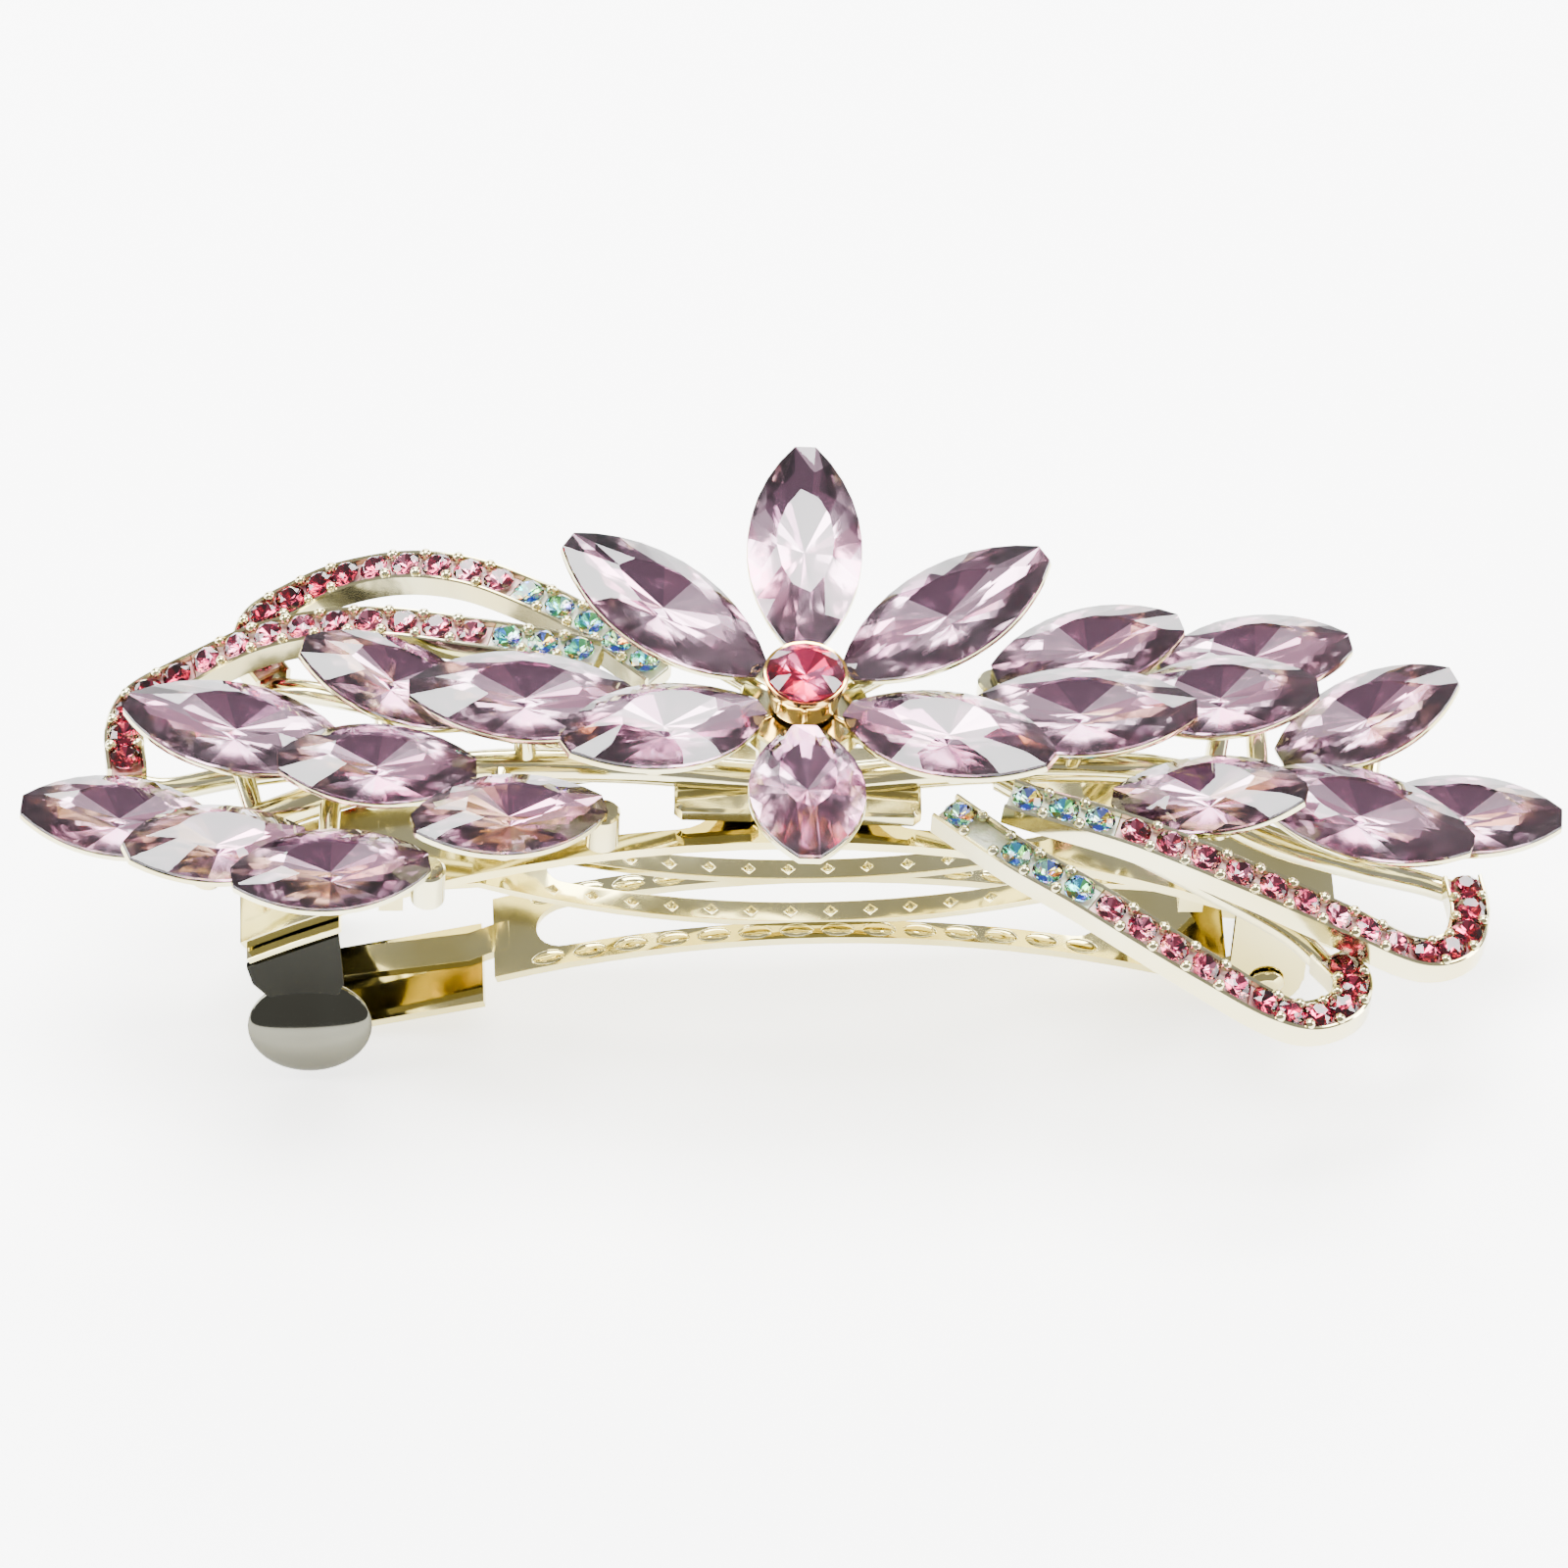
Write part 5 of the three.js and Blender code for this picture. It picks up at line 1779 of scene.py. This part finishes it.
@dataclass
class CatchLeg:
    """One leg of the pinch catch with its oval thumb pad; side is -1 for the front and +1 for the back."""

    side: int
    frames: ClipFrames
    workshop: Workshop
    middle_x: float = -32.6
    length: float = 6.0
    inner_y: float = 4.5
    sheet: float = 0.5
    lean_deg: float = 13.0
    neck_z: float = 6.2
    neck_length: float = 4.2
    shoulder: float = 1.6
    pad_x: float = -31.4
    pad_z: float = 4.4
    pad_half: tuple[float, float, float] = (4.1, 0.75, 3.3)
    pad_flare_deg: float = 24.0
    pad_stand_out: float = 0.6
    pad_rows: int = 20
    pad_sides: int = 56
    base_radius: float = 70.0
    base_top_z: float = 21.0
    base_sheet: float = 0.7

    def build(self) -> None:
        """Builds and dresses the leg and its pad as one piece."""
        label = "front" if self.side < 0 else "back"
        surface = Surface()
        self._plate(surface)
        self._pad(surface)
        name = f"catch_{label}_sprung_leg"
        mesh = surface.mesh(name, self.frames.level)
        materials = [self.workshop.get(CATCH_PLATE), self.workshop.get(PAD_PLATE)]
        piece = make_piece(name, mesh, materials, 30.0, 0.1)
        dress(piece, f"catch_{label}", [f"catch_leg_{label}"])

    def _top(self, x: float) -> float:
        """The height of the bend line under the saddle."""
        base = self.base_top_z - self.base_radius + math.sqrt(self.base_radius**2 - x**2)
        return base - self.base_sheet - self.sheet - 2 * FIT_GAP

    def _plate(self, surface: Surface) -> None:
        """The flat leg, narrowed to a neck above the pad.

        Args:
            surface: the leg's surface, which gets the plate.
        """
        lean = math.tan(math.radians(self.lean_deg))

        def middle(z: float) -> float:
            """The leg's middle at a height."""
            return self.pad_x - (z - self.pad_z) * lean

        half, neck = self.length / 2, self.neck_length / 2
        high = self.neck_z + self.shoulder
        left, right = max(self.middle_x - half, -36.0), self.middle_x + half
        outline = [
            (middle(self.pad_z) - neck, self.pad_z),
            (middle(self.pad_z) + neck, self.pad_z),
            (middle(self.neck_z) + neck, self.neck_z),
            (middle(high) + half, high),
            (right, self._top(right)),
            (left, self._top(left)),
            (middle(high) - half, high),
            (middle(self.neck_z) - neck, self.neck_z),
        ]
        rings = [
            [Vector((x, self.side * y, z)) for x, z in outline]
            for y in (self.inner_y, self.inner_y + self.sheet)
        ]
        surface.loft(rings)

    def _pad(self, surface: Surface) -> None:
        """The polished oval pad.

        Args:
            surface: the leg's surface, which gets the pad.
        """
        tilt = Matrix.Rotation(self.side * math.radians(self.pad_flare_deg), 4, "X")
        out = self.inner_y + self.sheet + self.pad_stand_out
        centre = Vector((self.pad_x, self.side * out, self.pad_z))
        rings = egg_rings(self.pad_half, self.pad_rows, self.pad_sides)
        surface.loft(rings, Matrix.Translation(centre) @ tilt, 1)


# ------------------------------------------------------------------ studio


@dataclass
class Softbox:
    """A rectangular studio light that looks at the clip."""

    name: str
    place: tuple[float, float, float]
    size: tuple[float, float]
    power: float
    colour: str = "ffffff"

    def build(self, target: Vector) -> None:
        """Hangs the light, turned towards the target.

        Args:
            target: the point that the light looks at.
        """
        data = bpy.data.lights.new(self.name, "AREA")
        data.shape = "RECTANGLE"
        data.size, data.size_y = self.size
        data.energy = self.power
        data.color = srgb(self.colour)[:3]
        lamp = bpy.data.objects.new(self.name, data)
        lamp.location = self.place
        lamp.rotation_mode = "QUATERNION"
        lamp.rotation_quaternion = (target - lamp.location).to_track_quat("-Z", "Y")
        bpy.context.scene.collection.objects.link(lamp)


@dataclass
class Studio:
    """White paper, soft lights and a long lens from the front and above."""

    frames: ClipFrames
    workshop: Workshop
    azimuth_deg: float = -5.5
    elevation_deg: float = 48.0
    roll_deg: float = 4.2
    distance_mm: float = 600.0
    shift_mm: tuple[float, float] = (-1.51, -8.71)
    focus_z: float = 35.0
    lens: float = 216.0
    surround: str = "c6c6c9"
    surround_strength: float = 1.0
    lights: tuple[Softbox, ...] = (
        Softbox("overhead_softbox", (0.0, 0.12, 0.8), (0.55, 0.4), 26.0),
        Softbox("back_softbox", (0.1, 0.8, 0.5), (0.8, 0.35), 22.0),
        Softbox("left_softbox", (-0.75, 0.1, 0.4), (0.3, 0.6), 16.0),
        Softbox("right_softbox", (0.75, 0.0, 0.35), (0.25, 0.5), 12.0),
    )

    def build(self) -> None:
        """Builds the floor, the lights, the surroundings and the camera."""
        self._floor()
        for light in self.lights:
            light.build(Vector((0.0, 0.0, 0.015)))
        self._surroundings()
        self._camera()

    def _floor(self) -> None:
        """A wide sheet of white paper."""
        mesh = bpy.data.meshes.new("paper")
        reach = 3.0
        corners = [(-reach, -reach, 0), (reach, -reach, 0), (reach, reach, 0), (-reach, reach, 0)]
        mesh.from_pydata(corners, [], [(0, 1, 2, 3)])
        mesh.materials.append(self.workshop.get(PAPER))
        floor = bpy.data.objects.new("paper", mesh)
        bpy.context.scene.collection.objects.link(floor)

    def _surroundings(self) -> None:
        """An even grey room."""
        world = bpy.data.worlds.new("grey_room")
        bpy.context.scene.world = world
        world.use_nodes = True
        world.node_tree.nodes.clear()
        room = add_node(
            world.node_tree,
            "ShaderNodeBackground",
            {"Color": srgb(self.surround), "Strength": self.surround_strength},
        )
        add_node(world.node_tree, "ShaderNodeOutputWorld", links={"Surface": room.outputs[0]})

    def _camera(self) -> None:
        """The camera, placed in the level clip's frame and carried with its resting tilt."""
        angles = (self.azimuth_deg, self.elevation_deg, self.roll_deg)
        azimuth, elevation, roll = (math.radians(angle) for angle in angles)
        right = Vector((math.cos(azimuth), math.sin(azimuth), 0.0))
        back = Vector(
            (
                math.sin(azimuth) * math.cos(elevation),
                -math.cos(azimuth) * math.cos(elevation),
                math.sin(elevation),
            )
        )
        up = back.cross(right)
        rolled_right = right * math.cos(roll) + up * math.sin(roll)
        rolled_up = up * math.cos(roll) - right * math.sin(roll)
        place = (
            Vector((0.0, 0.0, self.focus_z))
            + rolled_right * self.shift_mm[0]
            + rolled_up * self.shift_mm[1]
            + back * self.distance_mm
        )
        turn = Matrix((rolled_right, rolled_up, back)).transposed().to_4x4()
        data = bpy.data.cameras.new("camera")
        data.lens = self.lens
        data.sensor_width = 36.0
        data.clip_start, data.clip_end = 0.01, 20.0
        camera = bpy.data.objects.new("camera", data)
        camera.matrix_world = self.frames.level @ Matrix.Translation(place * MM) @ turn
        bpy.context.scene.collection.objects.link(camera)
        bpy.context.scene.camera = camera


def main() -> None:
    """Builds the clip's looks and its studio."""
    logging.basicConfig(level=logging.INFO, format="%(name)s: %(message)s")
    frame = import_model()
    frames = ClipFrames.from_joints(frame["joints"])
    workshop = Workshop()
    seats = SeatTree()
    Mechanism(frame["nodes"], workshop).build()
    PressedScallops(frames, workshop, seats).build()
    for side in (-1, 1):
        CatchLeg(side, frames, workshop).build()
    Flower(frames, workshop).build()
    Spray("left", 0.0, frames, workshop, seats).build()
    empty = {"right_outer_aurora_pave": (1,)}
    Spray("right", 180.0, frames, workshop, seats, empty).build()
    Studio(frames, workshop).build()


if __name__ == "__main__":
    main()
